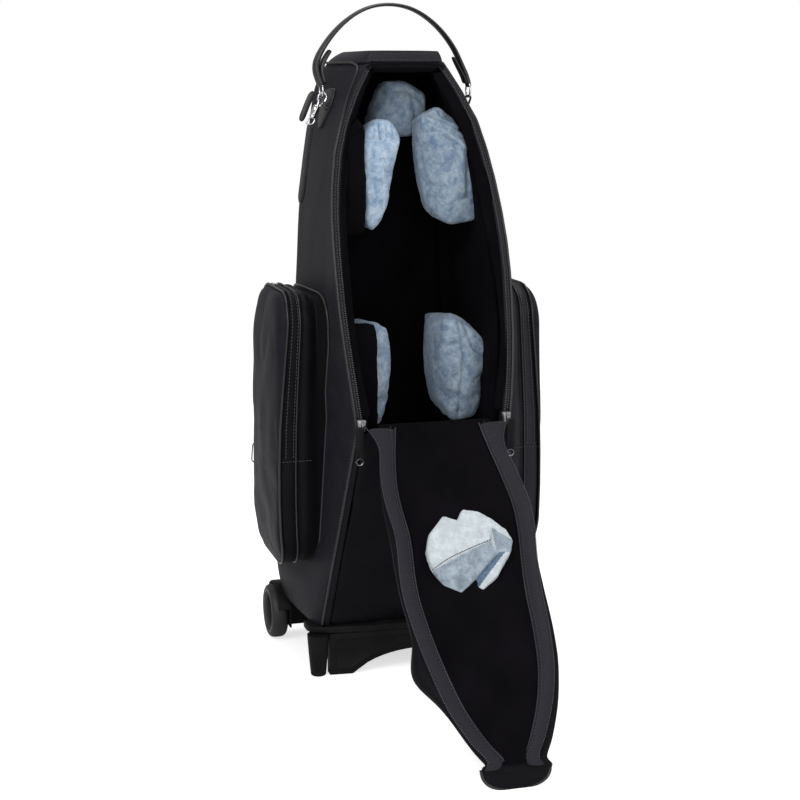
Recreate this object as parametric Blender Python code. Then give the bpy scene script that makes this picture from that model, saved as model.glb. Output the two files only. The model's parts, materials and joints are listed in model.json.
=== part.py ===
# Wheeled saxophone bag, standing with its front lid folded down to the floor.
# Units are metres, +Z is up, -Y is the front, and X = 0 is the plane of symmetry.
# Every size below is the real one. The bag stands on two front feet and two rear wheels.
import math

import bmesh
import bpy
from mathutils import Matrix, Vector

# Clearances
GAP = 0.0003            # between pieces that touch
FREE = 0.001            # round pieces that swing or slide
OVERRUN = 0.002         # how far a cutter passes the face that it cuts

# Body shell
BASE_TOP = 0.068        # underside of the bag
HINGE_Z = 0.351         # fold line of the lid
OPENING_TOP = 0.815     # upper end of the opening
BODY_TOP = 0.830
BACK_Y = 0.115          # rear face
BACK_RADIUS = 0.040     # rounded rear corners
FRONT_BASE_Y = -0.089   # front seam at the base
FRONT_HINGE_Y = -0.1645
FRONT_TOP_Y = -0.030
HALF_WIDTH = 0.1176     # widest front seam
BACK_HALF_WIDTH = 0.145
WALL = 0.010            # foam-cored nylon panel
LINING = 0.014          # plush lining

# Opening and lid
TEETH_INSET = 0.0165    # zipper line inside the front seam
TAPE_WIDTH = 0.0145
TAPE_THICK = 0.0012
LID_THICK = 0.010
LID_LINING = 0.006
LID_BORDER = 0.020      # bare tape round the plush panel of the lid
LID_SIDE_CLEAR = 0.002  # the lid's edges swing past the tape
LID_END_CLEAR = 0.004
LID_NECK = 0.008        # how much narrower the lid is at its fold
LID_NECK_LENGTH = 0.100
END_FLAP_HALF = 0.040   # tongue at the lid's tip, which closes over the strip above the opening
END_FLAP_THICK = 0.003
END_FLAP_RISE = 0.030   # how far it passes the lid's upper edge
END_FLAP_SEAT = 0.012   # how far it is sewn onto the lid
END_STEP = 0.001
HINGE_CORD_RADIUS = 0.003

# Cushions inside: depths are the thickness at the bottom and at the top
SADDLE_PAD = (0.112, 0.036, 0.112)
SADDLE_X = 0.011
NECK_PAD_Y = (-0.046, 0.024)
NECK_PAD_LEFT_Z = (0.592, 0.742)
NECK_PAD_RIGHT_Z = (0.600, 0.748)
NECK_PAD_LEFT_DEPTHS = (0.050, 0.066)
NECK_PAD_RIGHT_DEPTHS = (0.056, 0.042)
BELL_PAD_Y = (-0.088, 0.020)
BELL_PAD_Z = (0.325, 0.470)
BELL_PAD_DEPTHS = (0.030, 0.050)
TOP_PAD_X = 0.005
TOP_PAD_HALF = 0.036
TOP_PAD_FRONT_Y = 0.026
TOP_PAD_Z = (0.702, 0.796)
BOW_PAD_HEIGHT = 0.058
BOW_PAD_HALF = 0.080
BOW_PAD_Y = (-0.052, 0.080)

# Main zipper sliders
SLIDER = (0.009, 0.007, 0.014)
PULL = (0.011, 0.0026, 0.050)
PULL_EYE_RADIUS = 0.0036
PULL_SIDESTEP = 0.005   # the tab hangs a little outside its slider, clear of the lid

# Side pockets
POCKET_BOTTOM = 0.134
POCKET_TOP = 0.515
POCKET_FRONT_Y = -0.066
POCKET_REAR_Y = 0.101
POCKET_OUT = 0.183      # outer panel's edge
POCKET_CROWN = 0.007    # bulge of the outer panel
POCKET_SEAM_INSET = 0.010
POCKET_SEAM = POCKET_OUT - POCKET_SEAM_INSET   # zipper line of the gusset
POCKET_FOLD_Z = 0.285   # the flap folds out here
POCKET_RADIUS = 0.040
POCKET_SKIN = 0.0030
POCKET_SLIDER = (0.010, 0.005, 0.012)
LOOP_PULL = (0.008, 0.030)
LOOP_PULL_OUT = 0.006   # the loop hangs from the outer end of the slider
LOOP_WIRE = 0.0010

# Carrying handle
RING_X = 0.1030
RING_Y = 0.015
RING_Z = 0.778
RING_RADIUS = 0.0090
RING_WIRE = 0.0015
HANDLE_RISE = 0.1155
HANDLE_TOP = RING_Z + HANDLE_RISE
STRAP_LEAN = -0.0095    # the soft arch leans to the left as it stands
STRAP_THICK = 0.0045
STRAP_WIDTH = 0.020
STRAP_END_WIDTH = 0.0110
STRAP_END_THICK = 0.0085
TAB_WIDTH = 0.022
TAB_NECK = 0.0100
TAB_THICK = 0.0035
TAB_LENGTH = 0.062

# Key strap that hangs from the left ring
HOOK = (0.0090, 0.0050, 0.036)
HOOK_LEAN = 0.010       # its lower end rests further out, on the bulge of the side panel
HOOK_TURN = math.radians(56)
HOOK_LOOP_RADIUS = 0.0038
HOOK_WIRE = 0.0011
KEY_STRAP = (0.0090, 0.0026, 0.104)

# Base, feet and wheels
RAIL_THICK = 0.010
RAIL_HALF_WIDTH = 0.152
RAIL_FRONT_Y = -0.104
RAIL_EAR_Y = -0.056
RAIL_BOW = 0.010        # how far the front edge falls back before its corners
TRAY_HALF_WIDTH = 0.124
TRAY_REAR_Y = 0.110
SKIRT_HALF_WIDTH = 0.124
FOOT_TOP_RADIUS = 0.0140
FOOT_RADIUS = 0.0115
FOOT_X = SKIRT_HALF_WIDTH + FOOT_TOP_RADIUS + FREE
FOOT_Y = -0.089
SKIRT_THICK = 0.015
SKIRT_SETBACK = 0.003
SKIRT_BOW = 0.006
ARCH_HALF_WIDTH = 0.088
ARCH_HEIGHT = 0.030
ARCH_POWER = 0.65
WHEEL_X = 0.161
WHEEL_Y = 0.087
WHEEL_RADIUS = 0.0385
WHEEL_WIDTH = 0.024
HUB_RADIUS = 0.0285
HUB_DOME = 0.004
AXLE_RADIUS = 0.004
FENDER_CLEAR = 0.003
FENDER_THICK = 0.0022
FENDER_WIDTH = 0.018
FENDER_START = math.radians(-20)
FENDER_SWEEP = math.radians(220)
HOUSING_BLOCK = (0.046, 0.060)
HOUSING_FLOOR = 0.025

# Telescopic handle on the back
TROLLEY_X = 0.052
TROLLEY_TUBE = (0.020, 0.013)
TROLLEY_WALL = 0.0015
TROLLEY_TOP = 0.745
TROLLEY_TRAVEL = 0.300
ROD_ENGAGED = 0.150     # length that stays in the tubes at full reach
ROD_WALL = 0.0012
BRACKET_HEIGHT = 0.022
BRACKET_SIDE = 0.007
GRIP_SIZE = (0.144, 0.024, 0.026)
GRIP_LIFT = 0.006
BUTTON_SIZE = (0.036, 0.012, 0.007)
BUTTON_TRAVEL = 0.004

# Shares of the rise from hinge to opening top: place, half-width, set-back and back half-width
UPPER_SHARES = (
    (0.000, 0.872, 0.000, 0.938),
    (0.082, 0.910, 0.033, 0.926),
    (0.218, 0.965, 0.138, 0.905),
    (0.353, 0.996, 0.279, 0.880),
    (0.460, 1.000, 0.383, 0.862),
    (0.515, 0.995, 0.465, 0.855),
    (0.622, 0.965, 0.610, 0.828),
    (0.759, 0.876, 0.775, 0.745),
    (0.870, 0.735, 0.862, 0.710),
    (0.940, 0.585, 0.930, 0.665),
    (1.000, 0.440, 1.000, 0.621),
)
# Shares of the rise from base to hinge, in the same order
LOWER_SHARES = (
    (0.000, 1.135, 0.000, 0.860),
    (0.100, 1.109, 0.100, 0.945),
    (0.230, 1.075, 0.230, 1.000),
    (0.480, 1.009, 0.480, 0.985),
    (0.750, 0.938, 0.750, 0.962),
    (1.000, 0.872, 1.000, 0.938),
)
# Shoulder of the top panel: share of its height, then shares of the width and depth kept
SHOULDER_SHARES = ((0.0, 1.0, 1.0), (0.45, 0.955, 0.985), (0.80, 0.86, 0.95), (1.0, 0.72, 0.88))
HEADER_SHARE = 0.8      # depth of the strip above the opening, of the wall
BOW_DISH_SHARE = 0.45
POCKET_ROOT_SHARE = 0.8
# Pocket's outer face: shares of its outline kept and of its crown; the first is its root
CROWN_SHARES = ((1.0, -1.0), (1.0, 0.0), (0.90, 0.55), (0.62, 0.90), (0.25, 1.0))
# Handle strap: shares of its half-span and of its rise above the rings, from ring to crown
STRAP_SHARES = (
    (1.0, 0.0), (1.02, 0.10), (0.995, 0.23), (0.88, 0.46), (0.65, 0.73), (0.34, 0.935), (0.0, 1.0),
)
STRAP_LEAN_SHARE = 0.2  # share of the rise over which the lean sets in
# Tab: shares of its length from the top down, and of its widening from neck to full width
TAB_SHARES = ((0.0, 0.0), (0.06, 0.0), (0.17, 0.0), (0.30, 1.0), (0.60, 1.0), (0.88, 1.0), (1.0, 0.3))
TAB_LIFT_SHARE = 0.36
SADDLE_CENTRE_SHARE = 0.375
SADDLE_WEDGE_SHARE = 0.45
SADDLE_GROOVE_SHARE = 0.35
EDGE_ROUND_SHARE = 0.25
WALL_CUT_SHARE = 0.9    # depth of the wall cutters, of the rear corner's radius
STRAP_TAPER_SHARE = 0.7
TAB_ROOM_SHARE = 0.6    # leather of a tab beyond the ring's wire, of its thickness
TYRE_SHOULDER_SHARES = (0.6, 0.93)
# Hub cap: shares of its dome and of the radius at its rim, and of the axle's radius at its pole
CAP_SHARES = (0.75, 0.6, 0.3)
HOUSING_REAR_SHARE = 0.7
AXLE_SEAT_SHARE = 0.4   # depth of the axle in its housing block
FLAP_CORNER_SHARE = 0.2
PULL_PIN_SHARE = 0.3    # distance of a pull's pin from the end of its slider
# Rail under the bag: shares of its half-width, and of its bow, from the middle to the ear
RAIL_SHARES = ((0.0, 0.0), (0.5, 0.3), (0.86, 1.0), (0.97, 1.8), (1.0, 3.0))
ARC_STEPS = 4
STRAP_END_STEPS = 4
LOOP_STEPS = 16
LOOP_SIDES = 6
WHEEL_SIDES = 32

# Places worked out from the sizes above
RISE = OPENING_TOP - HINGE_Z
DROP = HINGE_Z - BASE_TOP
LID_GAP = HINGE_CORD_RADIUS + GAP
LID_TOP = OPENING_TOP - TEETH_INSET
LINING_GAP = 2 * GAP
LINING_SETBACK = LID_THICK + LID_LINING * 0.5
INNER = WALL + LINING_GAP + LINING
TROLLEY_Y = BACK_Y + GAP + BRACKET_SIDE + TROLLEY_TUBE[1] / 2


def clear_scene():
    for item in list(bpy.data.objects):
        bpy.data.objects.remove(item, do_unlink=True)


def material(name, colour, roughness, metallic=0.0):
    made = bpy.data.materials.new(name)
    made.use_nodes = True
    shader = made.node_tree.nodes["Principled BSDF"]
    shader.inputs["Base Color"].default_value = (*colour, 1.0)
    shader.inputs["Roughness"].default_value = roughness
    shader.inputs["Metallic"].default_value = metallic
    made.diffuse_color = (*colour, 1.0)
    return made


def nylon(name):
    return material(name, (0.030, 0.030, 0.042), 0.75)


def plush(name):
    return material(name, (0.010, 0.009, 0.013), 1.0)


def velvet(name):
    return material(name, (0.42, 0.50, 0.60), 0.9)


def leather(name):
    return material(name, (0.015, 0.015, 0.017), 0.4)


def plastic(name):
    return material(name, (0.020, 0.020, 0.024), 0.45)


def steel(name):
    return material(name, (0.55, 0.55, 0.57), 0.25, 1.0)


def rubber(name):
    return material(name, (0.025, 0.025, 0.028), 0.8)


def empty_at(name, place, parent):
    made = bpy.data.objects.new(name, None)
    bpy.context.collection.objects.link(made)
    made.parent = parent
    made.location = place
    made.empty_display_size = 0.02
    return made


def add_object(name, mesh_data, finish, parent, smooth=False):
    """Finish a bmesh as a named object under its parent, with its own material."""
    bmesh.ops.recalc_face_normals(mesh_data, faces=mesh_data.faces)
    if mesh_data.calc_volume(signed=True) < 0:
        bmesh.ops.reverse_faces(mesh_data, faces=mesh_data.faces)
    mesh = bpy.data.meshes.new(name)
    mesh_data.to_mesh(mesh)
    mesh_data.free()
    made = bpy.data.objects.new(name, mesh)
    bpy.context.collection.objects.link(made)
    made.parent = parent
    mesh.materials.append(finish(name))
    if smooth:
        mesh.shade_smooth()
        mesh.set_sharp_from_angle(angle=math.radians(35))
    return made


def cutter(name, mesh_data, parent):
    made = add_object(name, mesh_data, plastic, parent)
    made.hide_render = True
    made.display_type = "WIRE"
    return made


def cut(target, tool, label):
    step = target.modifiers.new(label, "BOOLEAN")
    step.operation = "DIFFERENCE"
    step.solver = "EXACT"
    step.object = tool


def bevel(target, width, segments=2):
    step = target.modifiers.new("Round edges", "BEVEL")
    step.width = width
    step.segments = segments
    step.limit_method = "ANGLE"
    step.angle_limit = math.radians(40)


def box_mesh(low, high):
    """A box between two corners."""
    made = bmesh.new()
    size = [high[i] - low[i] for i in range(3)]
    centre = [(high[i] + low[i]) / 2 for i in range(3)]
    bmesh.ops.create_cube(made, size=1.0)
    bmesh.ops.scale(made, vec=size, verts=made.verts)
    bmesh.ops.translate(made, vec=centre, verts=made.verts)
    return made


def sized_box(centre, size):
    low = [centre[i] - size[i] / 2 for i in range(3)]
    high = [centre[i] + size[i] / 2 for i in range(3)]
    return box_mesh(low, high)


def quad(mesh_data, a, b, c, d):
    """Two triangles on a fixed diagonal, so that neighbouring skins stay parallel."""
    mesh_data.faces.new((a, b, c))
    mesh_data.faces.new((a, c, d))


def slab(outer, inner):
    """A closed panel between two grids of points with the same rows and columns."""
    made = bmesh.new()
    out = [[made.verts.new(p) for p in row] for row in outer]
    back = [[made.verts.new(p) for p in row] for row in inner]
    rows = len(out)
    cols = len(out[0])
    for i in range(rows - 1):
        for j in range(cols - 1):
            quad(made, out[i][j], out[i][j + 1], out[i + 1][j + 1], out[i + 1][j])
            quad(made, back[i][j], back[i + 1][j], back[i + 1][j + 1], back[i][j + 1])
        quad(made, out[i][0], out[i + 1][0], back[i + 1][0], back[i][0])
        quad(made, out[i][-1], back[i][-1], back[i + 1][-1], out[i + 1][-1])
    for j in range(cols - 1):
        quad(made, out[0][j], back[0][j], back[0][j + 1], out[0][j + 1])
        quad(made, out[-1][j], out[-1][j + 1], back[-1][j + 1], back[-1][j])
    return made


def rings(loops):
    """A closed skin over a stack of loops, with a flat face on each end."""
    made = bmesh.new()
    rows = [[made.verts.new(p) for p in loop] for loop in loops]
    count = len(rows[0])
    for lower, upper in zip(rows, rows[1:]):
        for j in range(count):
            quad(made, lower[j], lower[(j + 1) % count], upper[(j + 1) % count], upper[j])
    made.faces.new(rows[0][::-1])
    made.faces.new(rows[-1])
    return made


def turned(profile, sides, axis="X"):
    """A solid turned about an axis from (along, radius) points; the profile is a closed loop."""
    made = bmesh.new()
    rows = []
    for step in range(sides):
        turn = math.tau * step / sides
        row = []
        for along, radius in profile:
            across = (radius * math.cos(turn), radius * math.sin(turn))
            if axis == "X":
                point = (along, across[0], across[1])
            else:
                point = (across[0], across[1], along)
            row.append(made.verts.new(point))
        rows.append(row)
    count = len(profile)
    for step in range(sides):
        here = rows[step]
        there = rows[(step + 1) % sides]
        for j in range(count):
            k = (j + 1) % count
            quad(made, here[j], here[k], there[k], there[j])
    return made


def rod_mesh(radius, length, sides, axis="X"):
    """A plain round bar centred on the origin along an axis."""
    made = bmesh.new()
    bmesh.ops.create_cone(made, cap_ends=True, segments=sides, radius1=radius, radius2=radius, depth=length)
    if axis == "X":
        bmesh.ops.rotate(made, verts=made.verts, matrix=Matrix.Rotation(math.pi / 2, 3, "Y"))
    if axis == "Y":
        bmesh.ops.rotate(made, verts=made.verts, matrix=Matrix.Rotation(math.pi / 2, 3, "X"))
    return made


def ring_mesh(radius, wire, steps, sides, axis="X"):
    """A round wire ring about an axis through the origin."""
    profile = []
    for j in range(sides):
        turn = math.tau * j / sides
        profile.append((wire * math.sin(turn), radius + wire * math.cos(turn)))
    return turned(profile, steps, axis)


def move(mesh_data, offset):
    bmesh.ops.translate(mesh_data, vec=offset, verts=mesh_data.verts)
    return mesh_data


def curve_value(table, share, column):
    """Smooth value of one column of a table of shares (Catmull-Rom through its points)."""
    last = len(table) - 1
    index = 0
    while index < last - 1 and share > table[index + 1][0]:
        index += 1
    before = table[max(index - 1, 0)]
    start = table[index]
    end = table[index + 1]
    after = table[min(index + 2, last)]
    span = end[0] - start[0]
    t = (share - start[0]) / span
    slope_in = (end[column] - before[column]) / (end[0] - before[0]) * span
    slope_out = (after[column] - start[column]) / (after[0] - start[0]) * span
    a = 2 * t ** 3 - 3 * t ** 2 + 1
    b = t ** 3 - 2 * t ** 2 + t
    c = 3 * t ** 2 - 2 * t ** 3
    d = t ** 3 - t ** 2
    return a * start[column] + b * slope_in + c * end[column] + d * slope_out


def smooth_section(z):
    """Front seam half-width, front seam Y and rear half-width of the shell at a height."""
    if z >= HINGE_Z:
        share = (z - HINGE_Z) / RISE
        back = curve_value(UPPER_SHARES, share, 2)
        width = curve_value(UPPER_SHARES, share, 1)
        rear = curve_value(UPPER_SHARES, share, 3)
        front = FRONT_HINGE_Y + (FRONT_TOP_Y - FRONT_HINGE_Y) * back
    else:
        share = (z - BASE_TOP) / DROP
        ahead = curve_value(LOWER_SHARES, share, 2)
        width = curve_value(LOWER_SHARES, share, 1)
        rear = curve_value(LOWER_SHARES, share, 3)
        front = FRONT_BASE_Y + (FRONT_HINGE_Y - FRONT_BASE_Y) * ahead
    return width * HALF_WIDTH, front, rear * BACK_HALF_WIDTH


def levels(low, high, count):
    return [low + (high - low) * i / (count - 1) for i in range(count)]


BODY_LEVELS = levels(BASE_TOP, HINGE_Z, 7) + levels(HINGE_Z, OPENING_TOP, 13)[1:]
SECTIONS = [smooth_section(z) for z in BODY_LEVELS]


def section(z):
    """The same three values on the straight facets between the levels of the shell."""
    index = 0
    while index < len(BODY_LEVELS) - 2 and z > BODY_LEVELS[index + 1]:
        index += 1
    share = (z - BODY_LEVELS[index]) / (BODY_LEVELS[index + 1] - BODY_LEVELS[index])
    return [a + (b - a) * share for a, b in zip(SECTIONS[index], SECTIONS[index + 1])]


def heights_between(low, high):
    """Both ends and every level of the shell between them."""
    return [low] + [z for z in BODY_LEVELS if low + GAP < z < high - GAP] + [high]


def side_x(z, y, inset=0.0):
    """X of the side wall's surface at a height and depth, an inset inwards."""
    half, front, rear = section(z)
    corner = BACK_Y - BACK_RADIUS
    run = (corner - y) / (corner - front)
    return rear + (half - rear) * max(run, 0.0) - inset


def side_row(side, z, inset, setback, shift=0.0):
    """Points of one level of a side wall, from the front edge round the rear corner."""
    half, front, rear = section(z)
    corner = BACK_Y - BACK_RADIUS
    columns = [front + setback] + levels(front, corner, 4)[1:]
    row = []
    for y in columns:
        row.append((side * side_x(z, y, inset), y, z))
    radius = BACK_RADIUS - inset
    for step in range(1, ARC_STEPS + 1):
        turn = math.pi / 2 * step / ARC_STEPS
        x = rear - BACK_RADIUS + radius * math.cos(turn)
        y = corner + radius * math.sin(turn)
        row.append((side * x, y, z))
    x, y, z = row[-1]
    row[-1] = (x + side * shift, y, z)
    return row


SIDES = (("left", -1), ("right", 1))
PANEL_HEIGHTS = heights_between(BASE_TOP + GAP, OPENING_TOP)
LINING_HEIGHTS = heights_between(BASE_TOP + WALL, OPENING_TOP)


def side_panel(word, side, parent):
    outer = [side_row(side, z, 0, 0, GAP) for z in PANEL_HEIGHTS]
    inner = [side_row(side, z, WALL, 0, GAP) for z in PANEL_HEIGHTS]
    return add_object("side_panel_" + word, slab(outer, inner), nylon, parent, True)


def side_lining(word, side, parent):
    start = WALL + LINING_GAP
    outer = [side_row(side, z, start, LINING_SETBACK, GAP) for z in LINING_HEIGHTS]
    inner = [side_row(side, z, INNER, LINING_SETBACK, GAP) for z in LINING_HEIGHTS]
    return add_object("side_lining_" + word, slab(outer, inner), plush, parent, True)


def wall_cutter(name, side, parent):
    """The side wall's own skin, a clearance outside it, for whatever seats on the wall."""
    skin = [side_row(side, z, -GAP, 0, 0) for z in PANEL_HEIGHTS]
    deep = [side_row(side, z, BACK_RADIUS * WALL_CUT_SHARE, 0, 0) for z in PANEL_HEIGHTS]
    return cutter(name, slab(skin, deep), parent)


def back_row(z, y):
    half, front, rear = section(z)
    edge = rear - BACK_RADIUS
    return [(x, y, z) for x in levels(-edge, edge, 3)]


def back_panel(parent):
    outer = [back_row(z, BACK_Y) for z in PANEL_HEIGHTS]
    inner = [back_row(z, BACK_Y - WALL) for z in PANEL_HEIGHTS]
    return add_object("back_panel", slab(outer, inner), nylon, parent)


def back_lining(parent):
    outer = [back_row(z, BACK_Y - WALL - LINING_GAP) for z in LINING_HEIGHTS]
    inner = [back_row(z, BACK_Y - INNER) for z in LINING_HEIGHTS]
    return add_object("back_lining", slab(outer, inner), plush, parent)


def front_lower_panel(parent):
    """The fixed front below the lid, between the two side panels."""
    outer = []
    inner = []
    for z in heights_between(BASE_TOP + GAP, HINGE_Z - LID_GAP - GAP):
        half, front, rear = section(z)
        edge = side_x(z, front, WALL) - GAP
        inner_edge = side_x(z, front + WALL, WALL) - GAP
        outer.append([(x, front, z) for x in levels(-edge, edge, 5)])
        inner.append([(x, front + WALL, z) for x in levels(-inner_edge, inner_edge, 5)])
    return add_object("front_lower_panel", slab(outer, inner), nylon, parent)


def outline_loop(z, width_share, depth_share, side_inset=0.0):
    """The shell's whole outline at the top, drawn in towards its middle."""
    right = side_row(1, OPENING_TOP, side_inset, 0)
    points = right + [(-x, y, at) for x, y, at in reversed(right)]
    middle = (FRONT_TOP_Y + BACK_Y) / 2
    loop = []
    for x, y, at in points:
        kept_y = depth_share if y > middle else 1.0
        loop.append((x * width_share, middle + (y - middle) * kept_y, z))
    return loop


def top_panel(parent):
    low = OPENING_TOP + GAP
    height = BODY_TOP - low
    loops = [outline_loop(low + height * rise, wide, deep) for rise, wide, deep in SHOULDER_SHARES]
    made = add_object("top_panel", rings(loops), nylon, parent, True)
    half, front, rear = section(OPENING_TOP)
    edge = half - WALL - GAP
    strip_low = (-edge, front, LID_TOP + LID_END_CLEAR)
    header = box_mesh(strip_low, (edge, front + WALL * HEADER_SHARE, low + height / 2))
    join(made, header, "opening_header", parent)
    return made


def bottom_board(parent):
    """The stiff floor inside the bag, inside the four walls."""
    low = BASE_TOP + GAP
    high = BASE_TOP + WALL - GAP
    upper = side_row(1, BASE_TOP + WALL, WALL + GAP, WALL + GAP)
    lower = side_row(1, BASE_TOP, WALL + GAP, WALL + GAP)
    edge = []
    for a, b in zip(upper, lower):
        y = max(a[1], b[1]) if a[1] < 0 else min(a[1], b[1])
        edge.append((min(a[0], b[0]), y))
    loop = edge + [(-x, y) for x, y in reversed(edge)]
    loops = [[(x, y, z) for x, y in loop] for z in (low, high)]
    return add_object("bottom_board", rings(loops), plush, parent)


def tape_point(z, side, inset, lift):
    half, front, rear = section(z)
    return (side * (half - (TEETH_INSET - TAPE_WIDTH) - inset), front - GAP - lift, z)


def opening_zipper_tape(parent):
    """The body's half of the zipper: up the left of the opening, across its top and down the right."""
    low = HINGE_Z + SLIDER[2] + 2 * GAP
    high = OPENING_TOP - GAP
    edges = [(z, z) for z in heights_between(low, LID_TOP - TAPE_WIDTH)]
    edges.append((high, LID_TOP + LID_END_CLEAR))
    outer = []
    inner = []
    for side, run in ((-1, edges), (1, edges[::-1])):
        for outside, inside in run:
            for grid, lift in ((outer, TAPE_THICK), (inner, 0)):
                grid.append([tape_point(outside, side, 0, lift), tape_point(inside, side, TAPE_WIDTH, lift)])
    return add_object("opening_zipper_tape", slab(outer, inner), plastic, parent)


def lid_local(z, offset):
    """Y and Z of the lid's skin about the hinge, as it lies when it is shut."""
    half, front, rear = section(z)
    return front + offset - FRONT_HINGE_Y, z - HINGE_Z


def lid_row(z, offset, border):
    half, front, rear = section(z)
    neck = LID_NECK * max(0.0, 1 - (z - HINGE_Z) / LID_NECK_LENGTH)
    edge = half - TEETH_INSET - LID_SIDE_CLEAR - neck - border
    y, up = lid_local(z, offset)
    return [(x, y, up) for x in levels(-edge, edge, 5)]


def lid_grid(offset, border, low, high):
    return [lid_row(z, offset, border) for z in heights_between(low, high)]


def flap_tip(offset):
    """Y and Z of the end flap's upper edge about the hinge, when the lid is shut."""
    y = FRONT_TOP_Y - TAPE_THICK - 2 * GAP - END_FLAP_THICK + offset
    return y - FRONT_HINGE_Y, LID_TOP + END_FLAP_RISE - HINGE_Z


def lid_turn():
    """How far the lid folds out before the outer edge of its tip meets the floor."""
    y, up = flap_tip(0)
    reach = math.hypot(y, up)
    return math.pi + math.asin(HINGE_Z / reach) - math.atan2(up, y)


def frame_shift():
    """Puts the origin midway between the lid's tip and the rear of the grip."""
    y, up = flap_tip(END_FLAP_THICK)
    turn = lid_turn()
    front = FRONT_HINGE_Y + y * math.cos(turn) - up * math.sin(turn)
    return -(front + TROLLEY_Y + GRIP_SIZE[1] / 2) / 2


def end_flap():
    """The tongue at the lid's tip, outside the strip above the opening when the lid is shut."""
    over = TAPE_THICK + 2 * GAP
    tip = LID_TOP + END_FLAP_RISE
    rows = (
        (LID_TOP - END_FLAP_SEAT, LID_THICK / 2, 1.0),
        (LID_TOP - END_STEP, LID_THICK / 2, 1.0),
        (LID_TOP + END_STEP, -over, 1.0),
        (OPENING_TOP, -over, 1.0),
        (tip - END_FLAP_HALF * FLAP_CORNER_SHARE, -over, 1.0),
        (tip, -over, 1 - FLAP_CORNER_SHARE),
    )
    outer = []
    inner = []
    for z, back, wide in rows:
        half, front, rear = section(min(z, OPENING_TOP))
        edge = END_FLAP_HALF * wide
        y = front - FRONT_HINGE_Y
        outer.append([(x, y - over - END_FLAP_THICK, z - HINGE_Z) for x in levels(-edge, edge, 5)])
        inner.append([(x, y + back, z - HINGE_Z) for x in levels(-edge, edge, 5)])
    return slab(outer, inner)


def lid_shell(parent):
    low = HINGE_Z + LID_GAP
    outer = lid_grid(0, 0, low, LID_TOP)
    inner = lid_grid(LID_THICK, 0, low, LID_TOP)
    made = add_object("lid_shell", slab(outer, inner), nylon, parent, True)
    join(made, end_flap(), "end_flap", parent)
    return made


def lid_lining(parent):
    low = HINGE_Z + LID_GAP + FREE
    high = LID_TOP - LID_BORDER
    start = LID_THICK + GAP
    outer = lid_grid(start, LID_BORDER, low, high)
    inner = lid_grid(start + LID_LINING, LID_BORDER, low, high)
    return add_object("lid_lining", slab(outer, inner), plush, parent, True)


def lid_hinge_cord(parent):
    half, front, rear = section(HINGE_Z)
    length = 2 * (half - TEETH_INSET - LID_NECK)
    mesh_data = move(rod_mesh(HINGE_CORD_RADIUS, length, 16), (0, FRONT_HINGE_Y, HINGE_Z))
    return add_object("lid_hinge_cord", mesh_data, nylon, parent, True)


def puffed(cells, power):
    """Points and faces of a crowned block: a cube swollen towards a rounded form."""
    made = bmesh.new()
    bmesh.ops.create_cube(made, size=2.0)
    bmesh.ops.subdivide_edges(made, edges=made.edges, cuts=cells - 1, use_grid_fill=True)
    for vert in made.verts:
        size = sum(abs(v) ** power for v in vert.co) ** (1 / power)
        vert.co = vert.co / size
    return made


def wall_pad(name, side, y_range, z_range, depths, parent, power=5):
    """A cushion sewn to the side lining; depths are its thickness at the bottom and the top."""
    made = puffed(6, power)
    for vert in made.verts:
        u, v, w = vert.co
        z = (z_range[0] + z_range[1]) / 2 + w * (z_range[1] - z_range[0]) / 2
        half, front, rear = section(z)
        start = max(y_range[0], front + LID_THICK + LID_LINING + 2 * FREE)
        y = start + (v + 1) / 2 * (y_range[1] - start)
        depth = depths[0] + (depths[1] - depths[0]) * (w + 1) / 2
        x = side_x(z, y, INNER + LINING_GAP) - depth * (1 - u) / 2
        vert.co = (side * x, y, z)
    return add_object(name, made, velvet, parent, True)


def top_pad(parent):
    made = puffed(6, 6)
    rear = BACK_Y - INNER - GAP
    for vert in made.verts:
        u, v, w = vert.co
        z = (TOP_PAD_Z[0] + TOP_PAD_Z[1]) / 2 + w * (TOP_PAD_Z[1] - TOP_PAD_Z[0]) / 2
        y = rear - (rear - TOP_PAD_FRONT_Y) * (1 - v) / 2
        vert.co = (TOP_PAD_X + u * TOP_PAD_HALF, y, z)
    return add_object("top_pad", made, velvet, parent, True)


def bow_pad(parent):
    """The dished block on the floor that the bottom bow sits in."""
    made = puffed(8, 6)
    low = BASE_TOP + WALL
    for vert in made.verts:
        u, v, w = vert.co
        dish = BOW_DISH_SHARE * BOW_PAD_HEIGHT * max(0.0, 1 - u * u) * max(0.0, w)
        y = (BOW_PAD_Y[0] + BOW_PAD_Y[1]) / 2 + v * (BOW_PAD_Y[1] - BOW_PAD_Y[0]) / 2
        vert.co = (u * BOW_PAD_HALF, y, low + (w + 1) / 2 * BOW_PAD_HEIGHT - dish)
    return add_object("bow_pad", made, velvet, parent, True)


def lid_saddle_pad(parent):
    """The two-winged cushion on the lid that presses on the bell when the bag is shut."""
    made = puffed(8, 4)
    width, thick, length = SADDLE_PAD
    middle = HINGE_Z + RISE * SADDLE_CENTRE_SHARE
    for vert in made.verts:
        u, v, w = vert.co
        waist = 1 - SADDLE_WEDGE_SHARE * w * w
        z = middle + w * length / 2
        base, up = lid_local(z, LID_THICK + LID_LINING + 2 * GAP)
        groove = SADDLE_GROOVE_SHARE * thick * max(0.0, 1 - 4 * u * u) * max(0.0, v)
        vert.co = (SADDLE_X + u * width / 2 * waist, base + (v + 1) / 2 * thick - groove, up)
    return add_object("lid_saddle_pad", made, velvet, parent, True)


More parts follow.
